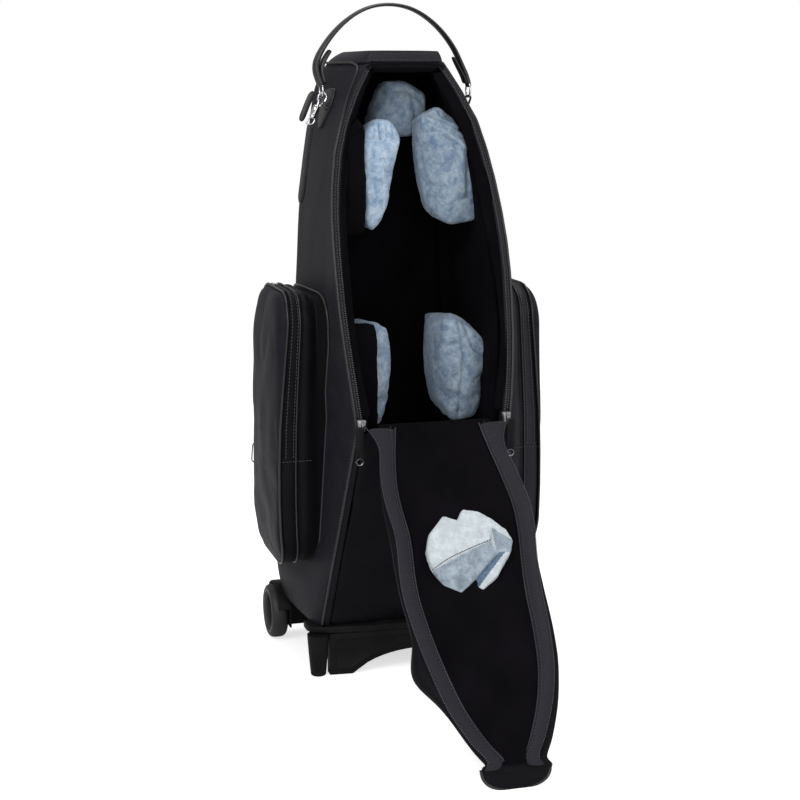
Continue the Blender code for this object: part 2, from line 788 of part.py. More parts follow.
def main_slider(word, side, parent):
    """The metal body of a zipper slider, parked at the lower end of the teeth."""
    half, front, rear = section(HINGE_Z)
    x = half - SLIDER[0] / 2
    y = front - GAP - SLIDER[1] / 2
    z = HINGE_Z + SLIDER[2] / 2
    made = add_object("main_slider_" + word, sized_box((side * x, y, z), SLIDER), steel, parent)
    bevel(made, SLIDER[1] * EDGE_ROUND_SHARE)
    pin_z = HINGE_Z + SLIDER[2] * PULL_PIN_SHARE
    return (side * (half - PULL[0] / 2 + PULL_SIDESTEP), y - SLIDER[1] / 2 - PULL[1] / 2 - FREE, pin_z)


def main_pull(word, pivot, parent):
    """A flat pull tab with an eye in its end, hanging from the slider's pin."""
    hub = empty_at("main_pull_pivot_" + word, pivot, parent)
    body = sized_box((0, 0, PULL[1] / 2 - PULL[2] / 2), PULL)
    made = add_object("main_pull_" + word, body, plastic, hub)
    eye = move(rod_mesh(PULL_EYE_RADIUS, PULL[1] + 2 * OVERRUN, 16, "Y"), (0, 0, -PULL[2] + PULL[0] / 2))
    tool = cutter("main_pull_eye_" + word, eye, hub)
    cut(made, tool, "Eye")
    return made


def pocket_outline(inset=0.0, low=POCKET_BOTTOM, high=POCKET_TOP):
    """Rounded outline of a pocket in Y and Z, from the front of its foot anticlockwise."""
    front = POCKET_FRONT_Y + inset
    rear = POCKET_REAR_Y - inset
    base = low + inset
    top = high - inset
    radius = POCKET_RADIUS - inset
    corners = (
        (rear - radius, base + radius, -math.pi / 2),
        (rear - radius, top - radius, 0.0),
        (front + radius, top - radius, math.pi / 2),
        (front + radius, base + radius, math.pi),
    )
    points = []
    for y, z, start in corners:
        for step in range(5):
            turn = start + math.pi / 2 * step / 4
            points.append((y + radius * math.cos(turn), z + radius * math.sin(turn)))
    return points


def pocket_crown(side, inset, x_out, crown):
    """A prism with a domed outer face."""
    loops = []
    centre_y = (POCKET_FRONT_Y + POCKET_REAR_Y) / 2
    centre_z = (POCKET_BOTTOM + POCKET_TOP) / 2
    for kept, rise in CROWN_SHARES:
        x = BACK_HALF_WIDTH * POCKET_ROOT_SHARE if rise < 0 else x_out + crown * rise
        loop = []
        for y, z in pocket_outline(inset):
            loop.append((side * x, centre_y + (y - centre_y) * kept, centre_z + (z - centre_z) * kept))
        loops.append(loop)
    return rings(loops)


def clip_box(side, low_x, high_x, low_z, high_z):
    reach = POCKET_RADIUS
    near = min(side * low_x, side * high_x)
    far = max(side * low_x, side * high_x)
    low = (near, POCKET_FRONT_Y - reach, low_z)
    high = (far, POCKET_REAR_Y + reach, high_z)
    return box_mesh(low, high)


def pocket(word, side, parent):
    """The gusset and the fixed foot of a side pocket, open towards its flap."""
    body = pocket_crown(side, 0.0, POCKET_OUT, POCKET_CROWN)
    made = add_object("pocket_" + word, body, nylon, parent, True)
    cut(made, wall_cutter("pocket_wall_cut_" + word, side, parent), "Seat on the side panel")
    hollow = pocket_crown(side, POCKET_SKIN, POCKET_OUT - POCKET_SKIN, POCKET_CROWN)
    cut(made, cutter("pocket_hollow_" + word, hollow, parent), "Hollow")
    reach = POCKET_OUT + POCKET_CROWN + OVERRUN
    top = POCKET_TOP + OVERRUN
    flap = clip_box(side, POCKET_SEAM, reach, POCKET_FOLD_Z, top)
    cut(made, cutter("pocket_flap_cut_" + word, flap, parent), "Room for the flap")
    return made


def pocket_cover(word, side, parent):
    """The outer panel that unzips and folds out about the end of the zipper."""
    hinge = Vector((side * (POCKET_OUT + POCKET_CROWN), (POCKET_FRONT_Y + POCKET_REAR_Y) / 2, POCKET_FOLD_Z))
    hub = empty_at("pocket_fold_" + word, hinge, parent)
    body = pocket_crown(side, 0.0, POCKET_OUT, POCKET_CROWN)
    made = add_object("pocket_cover_" + word, move(body, -hinge), nylon, hub, True)
    hollow = pocket_crown(side, POCKET_SKIN, POCKET_OUT - POCKET_SKIN, POCKET_CROWN)
    cut(made, cutter("cover_hollow_" + word, move(hollow, -hinge), hub), "Hollow")
    foot = clip_box(side, 0.0, POCKET_OUT + POCKET_CROWN + OVERRUN, 0.0, POCKET_FOLD_Z + GAP)
    cut(made, cutter("cover_foot_cut_" + word, move(foot, -hinge), hub), "Fold line")
    seam = clip_box(side, 0.0, POCKET_SEAM + GAP, 0.0, POCKET_TOP + OVERRUN)
    cut(made, cutter("cover_seam_cut_" + word, move(seam, -hinge), hub), "Zipper line")
    return made


def pocket_slider(word, side, parent):
    """The slider at the rear end of the pocket's zipper."""
    y = POCKET_REAR_Y + GAP + POCKET_SLIDER[1] / 2
    z = POCKET_FOLD_Z - POCKET_SLIDER[2] / 2
    x = side * (POCKET_SEAM + POCKET_SLIDER[0] / 2)
    made = add_object("pocket_slider_" + word, sized_box((x, y, z), POCKET_SLIDER), steel, parent)
    bevel(made, POCKET_SLIDER[1] * EDGE_ROUND_SHARE)
    pin_z = POCKET_FOLD_Z - POCKET_SLIDER[2] * PULL_PIN_SHARE
    return (x + side * LOOP_PULL_OUT, y + POCKET_SLIDER[1] / 2 + LOOP_WIRE + GAP, pin_z)


def pocket_pull(word, pivot, parent):
    """A long wire loop that hangs from the slider."""
    hub = empty_at("pocket_pull_pivot_" + word, pivot, parent)
    width, length = LOOP_PULL
    made = bmesh.new()
    rows = []
    half = width / 2
    for step in range(LOOP_STEPS):
        turn = math.tau * step / LOOP_STEPS
        straight = (length / 2 - half) * (1 if math.sin(turn) >= 0 else -1)
        centre = Vector((half * math.cos(turn), 0, half * math.sin(turn) + straight - length / 2))
        outward = Vector((math.cos(turn), 0, math.sin(turn)))
        row = []
        for side in range(LOOP_SIDES):
            around = math.tau * side / LOOP_SIDES
            shift = outward * math.cos(around) + Vector((0, 1, 0)) * math.sin(around)
            row.append(made.verts.new(centre + shift * LOOP_WIRE))
        rows.append(row)
    for step in range(LOOP_STEPS):
        here = rows[step]
        there = rows[(step + 1) % LOOP_STEPS]
        for side in range(LOOP_SIDES):
            after = (side + 1) % LOOP_SIDES
            quad(made, here[side], here[after], there[after], there[side])
    return add_object("pocket_pull_" + word, made, steel, hub, True)


def strap_line():
    """Centre line of the handle from the left ring over the crown to the right ring."""
    base = RING_Z + RING_RADIUS
    rise = HANDLE_TOP - STRAP_THICK / 2 - base
    shares = [(-x, z) for x, z in STRAP_SHARES] + list(STRAP_SHARES[-2::-1])
    whole = []
    for x, z in shares:
        lean = STRAP_LEAN * min(1.0, z / STRAP_LEAN_SHARE)
        whole.append(Vector((RING_X * x + lean, 0, base + rise * z - RING_Z)))
    line = []
    for i in range(len(whole) - 1):
        a = whole[max(i - 1, 0)]
        b = whole[i]
        c = whole[i + 1]
        d = whole[min(i + 2, len(whole) - 1)]
        for step in range(3):
            t = step / 3
            line.append(0.5 * (2 * b + (c - a) * t + (2 * a - 5 * b + 4 * c - d) * t ** 2
                               + (3 * b - a - 3 * c + d) * t ** 3))
    line.append(whole[-1])
    return line


def handle_strap(hub):
    """The leather arch; its doubled ends close round the rings."""
    line = strap_line()
    outer = []
    inner = []
    count = len(line)
    for i, point in enumerate(line):
        ahead = line[min(i + 1, count - 1)] - line[max(i - 1, 0)]
        normal = Vector((-ahead.z, 0, ahead.x)).normalized()
        end_share = max(0.0, 1 - min(i, count - 1 - i) / STRAP_END_STEPS)
        thick = STRAP_THICK + (STRAP_END_THICK - STRAP_THICK) * end_share
        width = STRAP_WIDTH + (STRAP_END_WIDTH - STRAP_WIDTH) * min(1.0, end_share / STRAP_TAPER_SHARE)
        outer.append([point + normal * thick / 2 + Vector((0, y, 0)) for y in (-width / 2, width / 2)])
        inner.append([point - normal * thick / 2 + Vector((0, y, 0)) for y in (-width / 2, width / 2)])
    for side, index in ((-1, 0), (1, -1)):
        for grid in (outer, inner):
            for p in grid[index]:
                p.z = RING_RADIUS - RING_WIRE - STRAP_END_THICK / 4
    made = add_object("handle_strap", slab(outer, inner), leather, hub)
    for word, side in SIDES:
        room = ring_mesh(RING_RADIUS, RING_WIRE + GAP, 32, 10)
        tool = cutter("strap_ring_room_" + word, move(room, (side * RING_X, 0, 0)), hub)
        cut(made, tool, "Eye for the ring")
    return made


def handle_ring(word, side, parent):
    mesh_data = move(ring_mesh(RING_RADIUS, RING_WIRE, 32, 10), (side * RING_X, RING_Y, RING_Z))
    return add_object("handle_ring_" + word, mesh_data, steel, parent, True)


def handle_tab(word, side, parent):
    """A leather tab sewn to the side panel, with a neck that holds the ring."""
    low = RING_Z - RING_RADIUS
    ring_room = RING_WIRE + TAB_THICK * TAB_ROOM_SHARE
    outer = []
    inner = []
    for drop, width_share in TAB_SHARES:
        z = low + ring_room - (TAB_LENGTH + ring_room) * drop
        width = TAB_NECK + (TAB_WIDTH - TAB_NECK) * width_share
        row = levels(RING_Y - width / 2, RING_Y + width / 2, 3)
        wall = side_x(z, RING_Y) + LINING_GAP
        reach = RING_X + ring_room - wall
        out = TAB_THICK + (reach - TAB_THICK) * max(0.0, 1 - drop / TAB_LIFT_SHARE)
        outer.append([(side * (side_x(z, y) + LINING_GAP + out), y, z) for y in row])
        inner.append([(side * (side_x(z, y) - TAB_THICK / 2), y, z) for y in row])
    made = add_object("handle_tab_" + word, slab(outer, inner), leather, parent)
    cut(made, wall_cutter("tab_wall_cut_" + word, side, parent), "Seat on the side panel")
    room = ring_mesh(RING_RADIUS, RING_WIRE + GAP, 32, 10)
    tool = cutter("tab_ring_room_" + word, move(room, (side * RING_X, RING_Y, RING_Z)), parent)
    cut(made, tool, "Eye for the ring")
    return made


def leaning_bar(top, foot, width, depth):
    """A flat bar between two points, with level ends."""
    outer = []
    inner = []
    for point in (top, foot):
        edges = (point.y - depth / 2, point.y + depth / 2)
        outer.append([(point.x - width / 2, y, point.z) for y in edges])
        inner.append([(point.x + width / 2, y, point.z) for y in edges])
    return slab(outer, inner)


def key_strap(parent):
    """A snap hook on the left ring with a short leather strap below it."""
    outward = Vector((0, -math.sin(HOOK_TURN), -math.cos(HOOK_TURN)))
    hang = Vector((-RING_X, RING_Y, RING_Z)) + outward * RING_RADIUS
    hub = empty_at("key_strap_pivot", hang, parent)
    loop = ring_mesh(HOOK_LOOP_RADIUS, HOOK_WIRE, 24, 8, "Z")
    bmesh.ops.rotate(loop, verts=loop.verts, matrix=Matrix.Rotation(math.pi / 2 - HOOK_TURN, 3, "X"))
    sag = HOOK_LOOP_RADIUS - HOOK_WIRE - GAP - RING_WIRE
    made = add_object("tag_hook", move(loop, outward * sag), steel, hub, True)
    end = outward * (sag + HOOK_LOOP_RADIUS) + Vector((-HOOK[0] / 2, 0, 0))
    foot = end + Vector((-HOOK_LEAN, 0, -HOOK[2]))
    top = end + Vector((0, 0, HOOK_WIRE / 2))
    join(made, leaning_bar(top, foot, HOOK[0], HOOK[1]), "tag_hook_shank", hub)
    strap_top = foot - Vector((0, 0, GAP))
    low = hang.z + strap_top.z
    lean = side_x(low - KEY_STRAP[2], hang.y) - side_x(low, hang.y)
    strap_foot = strap_top - Vector((lean, 0, KEY_STRAP[2]))
    add_object("tag_strap", leaning_bar(strap_top, strap_foot, KEY_STRAP[0], KEY_STRAP[1]), leather, hub)
    return made


def base_frame(parent):
    """The moulded plate under the bag, with two ears at the front for the feet."""
    low = BASE_TOP - RAIL_THICK
    edge = [(RAIL_HALF_WIDTH * wide, RAIL_FRONT_Y + RAIL_BOW * back) for wide, back in RAIL_SHARES]
    edge.append((RAIL_HALF_WIDTH, RAIL_EAR_Y))
    edge.append((TRAY_HALF_WIDTH, RAIL_EAR_Y + RAIL_BOW))
    edge.append((TRAY_HALF_WIDTH, TRAY_REAR_Y))
    loop = edge + [(-x, y) for x, y in reversed(edge[1:])]
    loops = [[(x, y, z) for x, y in loop] for z in (low, BASE_TOP - GAP)]
    return add_object("base_frame", rings(loops), plastic, parent)


def front_skirt(parent):
    """The plate between the front feet, with its long arch."""
    high = BASE_TOP - RAIL_THICK - GAP
    columns = levels(-SKIRT_HALF_WIDTH, SKIRT_HALF_WIDTH, 25)
    outer = []
    inner = []
    for x in columns:
        reach = min(1.0, abs(x) / ARCH_HALF_WIDTH)
        low = ARCH_HEIGHT * (1 - reach ** 2) ** ARCH_POWER
        front = RAIL_FRONT_Y + SKIRT_SETBACK + SKIRT_BOW * (x / SKIRT_HALF_WIDTH) ** 2
        outer.append([(x, front, low), (x, front, high)])
        inner.append([(x, front + SKIRT_THICK, low), (x, front + SKIRT_THICK, high)])
    return add_object("front_skirt", slab(outer, inner), plastic, parent)


def front_foot(word, side, parent):
    high = BASE_TOP - RAIL_THICK - GAP
    made = bmesh.new()
    top = FOOT_TOP_RADIUS
    bmesh.ops.create_cone(made, cap_ends=True, segments=20, radius1=FOOT_RADIUS, radius2=top, depth=high)
    move(made, (side * FOOT_X, FOOT_Y, high / 2))
    return add_object("front_foot_" + word, made, rubber, parent, True)


def wheel_housing(word, side, parent):
    """Block under the tray, web beside the wheel and the fender over it, in one moulding."""
    inner_x = WHEEL_X - WHEEL_WIDTH / 2 - FREE - FENDER_THICK
    block_in = inner_x - HOUSING_BLOCK[0]
    half = HOUSING_BLOCK[1] / 2
    high = BASE_TOP - RAIL_THICK - GAP
    low_x, high_x = sorted((side * block_in, side * (inner_x + OVERRUN)))
    low = (low_x, WHEEL_Y - half, HOUSING_FLOOR)
    block = box_mesh(low, (high_x, WHEEL_Y + half * HOUSING_REAR_SHARE, high))
    made = add_object("wheel_housing_" + word, block, plastic, parent)
    radius = WHEEL_RADIUS + FENDER_CLEAR
    outline = []
    for step in range(13):
        turn = FENDER_START + FENDER_SWEEP * step / 12
        outline.append(((radius + FENDER_THICK) * math.cos(turn), (radius + FENDER_THICK) * math.sin(turn)))
    loops = []
    for x in (inner_x, inner_x + FENDER_THICK):
        loops.append([(side * x, WHEEL_Y + y, WHEEL_RADIUS + z) for y, z in outline])
    web = rings(loops)
    join(made, web, "web_" + word, parent)
    arch_out = [(y, z) for y, z in outline[2:-2]]
    share = radius / (radius + FENDER_THICK)
    arch_in = [(y * share, z * share) for y, z in arch_out]
    outer = [[(side * x, WHEEL_Y + y, WHEEL_RADIUS + z) for y, z in arch_out]
             for x in (inner_x + FENDER_THICK / 2, inner_x + FENDER_WIDTH)]
    inner = [[(side * x, WHEEL_Y + y, WHEEL_RADIUS + z) for y, z in arch_in]
             for x in (inner_x + FENDER_THICK / 2, inner_x + FENDER_WIDTH)]
    join(made, slab(outer, inner), "fender_" + word, parent)
    bore = rod_mesh(AXLE_RADIUS + GAP, HOUSING_BLOCK[0] + 2 * FENDER_THICK, 16)
    move(bore, (side * (inner_x + FENDER_THICK), WHEEL_Y, WHEEL_RADIUS))
    cut(made, cutter("axle_bore_" + word, bore, parent), "Axle bore")
    return made


def join(target, mesh_data, name, parent):
    tool = cutter(name, mesh_data, parent)
    step = target.modifiers.new("Join " + name, "BOOLEAN")
    step.operation = "UNION"
    step.solver = "EXACT"
    step.object = tool


def axle(word, side, parent):
    inner_x = WHEEL_X - WHEEL_WIDTH / 2 - FREE - FENDER_THICK
    start = inner_x - HOUSING_BLOCK[0] * AXLE_SEAT_SHARE
    end = WHEEL_X + WHEEL_WIDTH / 2 - HUB_DOME
    body = rod_mesh(AXLE_RADIUS, end - start, 16)
    move(body, (side * (start + end) / 2, WHEEL_Y, WHEEL_RADIUS))
    return add_object("axle_" + word, body, steel, parent, True)


def wheel(word, side, parent):
    """A rubber tyre on a plastic hub with a domed cap, turning on the axle."""
    spin = empty_at("wheel_spin_" + word, (side * WHEEL_X, WHEEL_Y, WHEEL_RADIUS), parent)
    half = WHEEL_WIDTH / 2
    flat = half * TYRE_SHOULDER_SHARES[0]
    shoulder = WHEEL_RADIUS * TYRE_SHOULDER_SHARES[1]
    tyre_profile = [
        (-half, HUB_RADIUS + GAP), (-half, shoulder), (-flat, WHEEL_RADIUS),
        (flat, WHEEL_RADIUS), (half, shoulder), (half, HUB_RADIUS + GAP),
    ]
    add_object("tyre_" + word, turned(tyre_profile, WHEEL_SIDES), rubber, spin, True)
    bore = AXLE_RADIUS + GAP
    end = half - HUB_DOME + GAP
    pole = AXLE_RADIUS * CAP_SHARES[2]
    hub_profile = [
        (-side * half, bore), (-side * half, HUB_RADIUS), (side * half, HUB_RADIUS),
        (side * (half + HUB_DOME * CAP_SHARES[0]), HUB_RADIUS * CAP_SHARES[1]),
        (side * (half + HUB_DOME), pole), (side * end, pole), (side * end, bore),
    ]
    add_object("hub_" + word, turned(hub_profile, WHEEL_SIDES), plastic, spin, True)
    return spin


def box_tube(centre, size, wall, low_z, high_z):
    """A square tube, open at both ends."""
    made = bmesh.new()
    loops = []
    x, y = centre
    for inset, z in ((0, low_z), (0, high_z), (wall, high_z), (wall, low_z)):
        half_x = size[0] / 2 - inset
        half_y = size[1] / 2 - inset
        corners = ((-half_x, -half_y), (half_x, -half_y), (half_x, half_y), (-half_x, half_y))
        loops.append([made.verts.new((x + a, y + b, z)) for a, b in corners])
    for i in range(4):
        here = loops[i]
        there = loops[(i + 1) % 4]
        for j in range(4):
            quad(made, here[j], here[(j + 1) % 4], there[(j + 1) % 4], there[j])
    return made


def trolley(parent):
    """Two fixed tubes, a bracket at each end, and the sliding handle that they guide."""
    floor = BASE_TOP - RAIL_THICK
    for word, side in SIDES:
        centre = (side * TROLLEY_X, TROLLEY_Y)
        tube = box_tube(centre, TROLLEY_TUBE, TROLLEY_WALL, floor + BRACKET_HEIGHT, TROLLEY_TOP)
        add_object("trolley_tube_" + word, tube, steel, parent)
    for name, low in (("trolley_foot", floor), ("trolley_bracket", TROLLEY_TOP + GAP)):
        half = TROLLEY_X + TROLLEY_TUBE[0] / 2 + BRACKET_SIDE
        high = low + BRACKET_HEIGHT - GAP
        rear = TROLLEY_Y + TROLLEY_TUBE[1] / 2 + BRACKET_SIDE / 2
        made = add_object(name, box_mesh((-half, BACK_Y + GAP, low), (half, rear, high)), plastic, parent)
        if name == "trolley_bracket":
            for word, side in SIDES:
                size = (rod_size()[0] + 2 * GAP, rod_size()[1] + 2 * GAP, BRACKET_HEIGHT + 2 * OVERRUN)
                hole = sized_box((side * TROLLEY_X, TROLLEY_Y, low + BRACKET_HEIGHT / 2), size)
                cut(made, cutter("bracket_hole_" + word, hole, parent), "Rod hole")
    sliding_handle(parent)


def rod_size():
    clear = 2 * (TROLLEY_WALL + GAP)
    return TROLLEY_TUBE[0] - clear, TROLLEY_TUBE[1] - clear


def sliding_handle(parent):
    hub = empty_at("trolley_slide", (0, TROLLEY_Y, TROLLEY_TOP), parent)
    top = BRACKET_HEIGHT + GRIP_LIFT
    rod = rod_size()
    for word, side in SIDES:
        tube = box_tube((side * TROLLEY_X, 0), rod, ROD_WALL, -TROLLEY_TRAVEL - ROD_ENGAGED, top - GAP)
        add_object("trolley_rod_" + word, tube, steel, hub)
    grip = sized_box((0, 0, top + GRIP_SIZE[2] / 2), GRIP_SIZE)
    made = add_object("trolley_grip", grip, plastic, hub)
    bevel(made, GRIP_SIZE[1] * EDGE_ROUND_SHARE)
    well = [BUTTON_SIZE[0] + 2 * GAP, BUTTON_SIZE[1] + 2 * GAP, 2 * (BUTTON_SIZE[2] + GAP)]
    roof = top + GRIP_SIZE[2]
    pit = sized_box((0, 0, roof), well)
    cut(made, cutter("button_well", pit, hub), "Button well")
    press = empty_at("button_press", (0, 0, roof), hub)
    button = sized_box((0, 0, BUTTON_TRAVEL - BUTTON_SIZE[2] / 2), BUTTON_SIZE)
    add_object("trolley_button", button, steel, press)


def lid(parent):
    hub = empty_at("lid_hinge", (0, FRONT_HINGE_Y, HINGE_Z), parent)
    hub.rotation_euler = (lid_turn(), 0, 0)
    lid_shell(hub)
    lid_lining(hub)
    lid_saddle_pad(hub)


def handle(parent):
    hub = empty_at("handle_swing", (0, RING_Y, RING_Z), parent)
    handle_strap(hub)
    for word, side in SIDES:
        handle_ring(word, side, parent)
        handle_tab(word, side, parent)


def build():
    clear_scene()
    frame = bpy.data.objects.new("bag_frame", None)
    bpy.context.collection.objects.link(frame)
    frame.location = (0, frame_shift(), 0)
    back_panel(frame)
    back_lining(frame)
    top_panel(frame)
    opening_zipper_tape(frame)
    front_lower_panel(frame)
    bottom_board(frame)
    lid_hinge_cord(frame)
    top_pad(frame)
    bow_pad(frame)
    wall_pad("neck_pad_left", -1, NECK_PAD_Y, NECK_PAD_LEFT_Z, NECK_PAD_LEFT_DEPTHS, frame)
    wall_pad("neck_pad_right", 1, NECK_PAD_Y, NECK_PAD_RIGHT_Z, NECK_PAD_RIGHT_DEPTHS, frame)
    for word, side in SIDES:
        side_panel(word, side, frame)
        side_lining(word, side, frame)
        wall_pad("bell_pad_" + word, side, BELL_PAD_Y, BELL_PAD_Z, BELL_PAD_DEPTHS, frame)
        main_pull(word, main_slider(word, side, frame), frame)
        pocket(word, side, frame)
        pocket_cover(word, side, frame)
        pocket_pull(word, pocket_slider(word, side, frame), frame)
        front_foot(word, side, frame)
        wheel_housing(word, side, frame)
        axle(word, side, frame)
        wheel(word, side, frame)
    lid(frame)
    handle(frame)
    key_strap(frame)
    base_frame(frame)
    front_skirt(frame)
    trolley(frame)


build()
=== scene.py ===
"""Wheeled saxophone bag with its lid folded open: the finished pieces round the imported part."""

import json
import math

import bmesh
import bpy
from mathutils import Matrix, Vector, bvhtree, noise


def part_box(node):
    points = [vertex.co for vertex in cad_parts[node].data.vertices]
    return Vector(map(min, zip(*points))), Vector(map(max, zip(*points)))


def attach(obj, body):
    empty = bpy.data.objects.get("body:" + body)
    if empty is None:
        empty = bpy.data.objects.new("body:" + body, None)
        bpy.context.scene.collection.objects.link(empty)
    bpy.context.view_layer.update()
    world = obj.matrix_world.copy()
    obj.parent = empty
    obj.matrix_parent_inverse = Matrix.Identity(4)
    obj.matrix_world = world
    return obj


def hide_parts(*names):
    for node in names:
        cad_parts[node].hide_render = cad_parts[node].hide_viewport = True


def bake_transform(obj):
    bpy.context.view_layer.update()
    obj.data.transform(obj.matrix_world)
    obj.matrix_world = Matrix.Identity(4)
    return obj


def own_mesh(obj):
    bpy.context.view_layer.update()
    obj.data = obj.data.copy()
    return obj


bl_info = {
    "name": "Wheeled Saxophone Bag",
    "version": (1, 0, 0),
    "blender": (4, 5, 0),
    "location": "View3D > Sidebar > Bag",
    "description": "Builds a wheeled saxophone bag with pockets, handles, zippers and velvet pads",
    "category": "Object",
}

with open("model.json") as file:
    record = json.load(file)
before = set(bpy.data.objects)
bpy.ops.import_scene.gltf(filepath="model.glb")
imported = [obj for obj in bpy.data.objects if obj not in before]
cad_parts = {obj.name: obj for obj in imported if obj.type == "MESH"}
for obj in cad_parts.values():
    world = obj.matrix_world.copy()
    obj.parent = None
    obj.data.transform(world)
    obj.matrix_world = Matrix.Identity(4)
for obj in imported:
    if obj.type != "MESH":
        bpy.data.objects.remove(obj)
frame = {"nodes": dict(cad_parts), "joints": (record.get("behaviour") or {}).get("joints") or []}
SIDES = (("left", -1), ("right", 1))
BACK_RADIUS = 0.040
TOUCH = 1e-6
FLAT_PARTS = 10
LINE_STEP = 0.02
THREADS = 105.0
SHOULDER_FOOT, SHOULDER_TALL, SHOULDER_DRAW = 0.770, 0.045, 0.011
LID_CURL, LID_TUCK = 0.0100, 0.0035
LID_SHUT = 150.3
HANDLE_MIDDLE = Vector((0, 0.2025, 0.70))
ARCH_MIDDLE = Vector((0, 0.2025, 0.78))
ARCH_FROM, ARCH_TO, ARCH_STEPS = 173, 7, 50
STRAP_ASIDE = 0.0037
FINE_STITCH = (0.0022, 0.0006, 0.0005)
RING_CORD, WIRE = 0.0014, 0.0010
JOINTS = {j["name"]: Vector(j["pos_m"]) for j in frame["joints"] if "pos_m" in j}


def colour(name, text, value):
    """A colour of the finishes."""
    return bpy.props.FloatVectorProperty(
        name=name, description=text, subtype="COLOR", size=3, min=0, max=1, default=value)


def length(name, text, value):
    """A size in metres."""
    return bpy.props.FloatProperty(
        name=name, description=text, subtype="DISTANCE", unit="LENGTH", min=0, default=value)


class BagColours(bpy.types.PropertyGroup):
    """Colours of the bag's cloths, leather, plastics and metals."""

    nylon: colour("Nylon", "Woven shell of the bag", (0.0135, 0.0135, 0.0195))
    tape: colour("Tape", "Binding and zipper tape", (0.0085, 0.0085, 0.0115))
    plush: colour("Plush", "Lining", (0.0030, 0.0025, 0.0036))
    velvet_shade: colour("Velvet shade", "Velvet where it is crushed", (0.13, 0.20, 0.30))
    velvet_light: colour("Velvet light", "Velvet where the pile stands", (0.44, 0.53, 0.62))
    pale_velvet: colour("Pale velvet", "Cushion on the lid", (0.62, 0.68, 0.72))
    leather: colour("Leather", "Handle and its tabs", (0.012, 0.012, 0.014))
    plastic: colour("Plastic", "Moulded base and grip", (0.0085, 0.0085, 0.0092))
    rubber: colour("Rubber", "Tyres and soles", (0.013, 0.013, 0.014))
    thread: colour("Thread", "Stitches", (0.060, 0.060, 0.066))
    teeth: colour("Teeth", "Zipper teeth", (0.090, 0.090, 0.098))
    chrome: colour("Chrome", "Rings and hook", (0.75, 0.75, 0.77))
    gunmetal: colour("Gunmetal", "Zipper sliders", (0.28, 0.28, 0.29))
    aluminium: colour("Aluminium", "Tubes of the pull handle", (0.10, 0.10, 0.11))
    floor: colour("Floor", "Floor and backdrop", (0.90, 0.90, 0.90))


class BagTrim(bpy.types.PropertyGroup):
    """Sizes of the piping, zippers, stitches and folds."""

    piping: length("Piping", "Radius of the piping along the seams", 0.0021)
    tooth_pitch: length("Tooth pitch", "Distance between the teeth of the zippers", 0.0028)
    stitch: length("Stitch", "Length of a stitch with its gap", 0.0046)
    fold: length("Fold", "Depth of the soft folds in the nylon", 0.0016)
    pad_travel: length("Pad travel", "Farthest that a cushion's cover puffs out", 0.007)
    pad_cell: length("Pad cell", "Mesh size of a cushion's cover", 0.004)


def clamped(value):
    """A share held between 0 and 1."""
    return min(max(value, 0.0), 1.0)


def merged(made):
    """Joins the corners that lie at one place."""
    bmesh.ops.remove_doubles(made, verts=made.verts, dist=TOUCH)


def faced_out(made):
    """Turns the faces of a closed body outwards."""
    bmesh.ops.recalc_face_normals(made, faces=made.faces)


def circle(centre, across, up, radius, count):
    """Even points round a centre, in the plane of two directions."""
    turns = [2 * math.pi * i / count for i in range(count)]
    return [centre + Vector(across) * (radius * math.cos(t)) + Vector(up) * (radius * math.sin(t))
            for t in turns]


def squarish(turn, wide, tall, square):
    """A point of a rounded oblong, whose two powers make its sides flatter."""
    a, b = math.cos(turn), math.sin(turn)
    return math.copysign(abs(a) ** square[0], a) * wide, math.copysign(abs(b) ** square[1], b) * tall


def corner_points(node, pick):
    """The point of every level of a CAD node that the pick prefers, from the bottom up."""
    rows = {}
    for vert in frame["nodes"][node].data.vertices:
        rows.setdefault(round(vert.co.z, 4), []).append(vert.co.copy())
    return [max(rows[z], key=pick) for z in sorted(rows)]


def at_height(points, z):
    """The point at a height on a line that rises."""
    for low, high in zip(points, points[1:]):
        if z <= high.z or high is points[-1]:
            share = (z - low.z) / max(high.z - low.z, 1e-9)
            return low.lerp(high, clamped(share))
    return points[-1].copy()


def line_between(points, low, high):
    """Points of a rising line at even heights."""
    count = max(2, round((high - low) / LINE_STEP))
    return [at_height(points, low + (high - low) * i / count) for i in range(count + 1)]


def even_line(points, step):
    """The same line with its points at even distances."""
    lengths = [0.0]
    for a, b in zip(points, points[1:]):
        lengths.append(lengths[-1] + (b - a).length)
    count = max(2, round(lengths[-1] / step))
    line = []
    index = 0
    for i in range(count + 1):
        at = lengths[-1] * i / count
        while index < len(points) - 2 and lengths[index + 1] < at:
            index += 1
        span = max(lengths[index + 1] - lengths[index], 1e-9)
        line.append(points[index].lerp(points[index + 1], min((at - lengths[index]) / span, 1.0)))
    return line


def smooth_line(points, step, closed=False):
    """A smooth line through the points, with its own points at even distances."""
    points = [Vector(p) for p in points]
    if closed:
        ends = [points[-1]] + points + points[:2]
    else:
        ends = [2 * points[0] - points[1]] + points + [2 * points[-1] - points[-2]]
    dense = []
    for a, b, c, d in zip(ends, ends[1:], ends[2:], ends[3:]):
        for i in range(12):
            t = i / 12
            bend = (2 * a - 5 * b + 4 * c - d) * t * t + (3 * b - a - 3 * c + d) * t ** 3
            dense.append(0.5 * (2 * b + (c - a) * t + bend))
    dense.append(points[0].copy() if closed else points[-1])
    return even_line(dense, step)


def axes_along(line, up):
    """A matrix at each point of a line: X along it, Z as near up as it can be."""
    made = []
    for i, place in enumerate(line):
        along = (line[min(i + 1, len(line) - 1)] - line[max(i - 1, 0)]).normalized()
        lift = up(place) if callable(up) else Vector(up)
        across = lift.cross(along).normalized()
        lift = along.cross(across)
        matrix = Matrix((along, across, lift)).transposed().to_4x4()
        matrix.translation = place
        made.append(matrix)
    return made


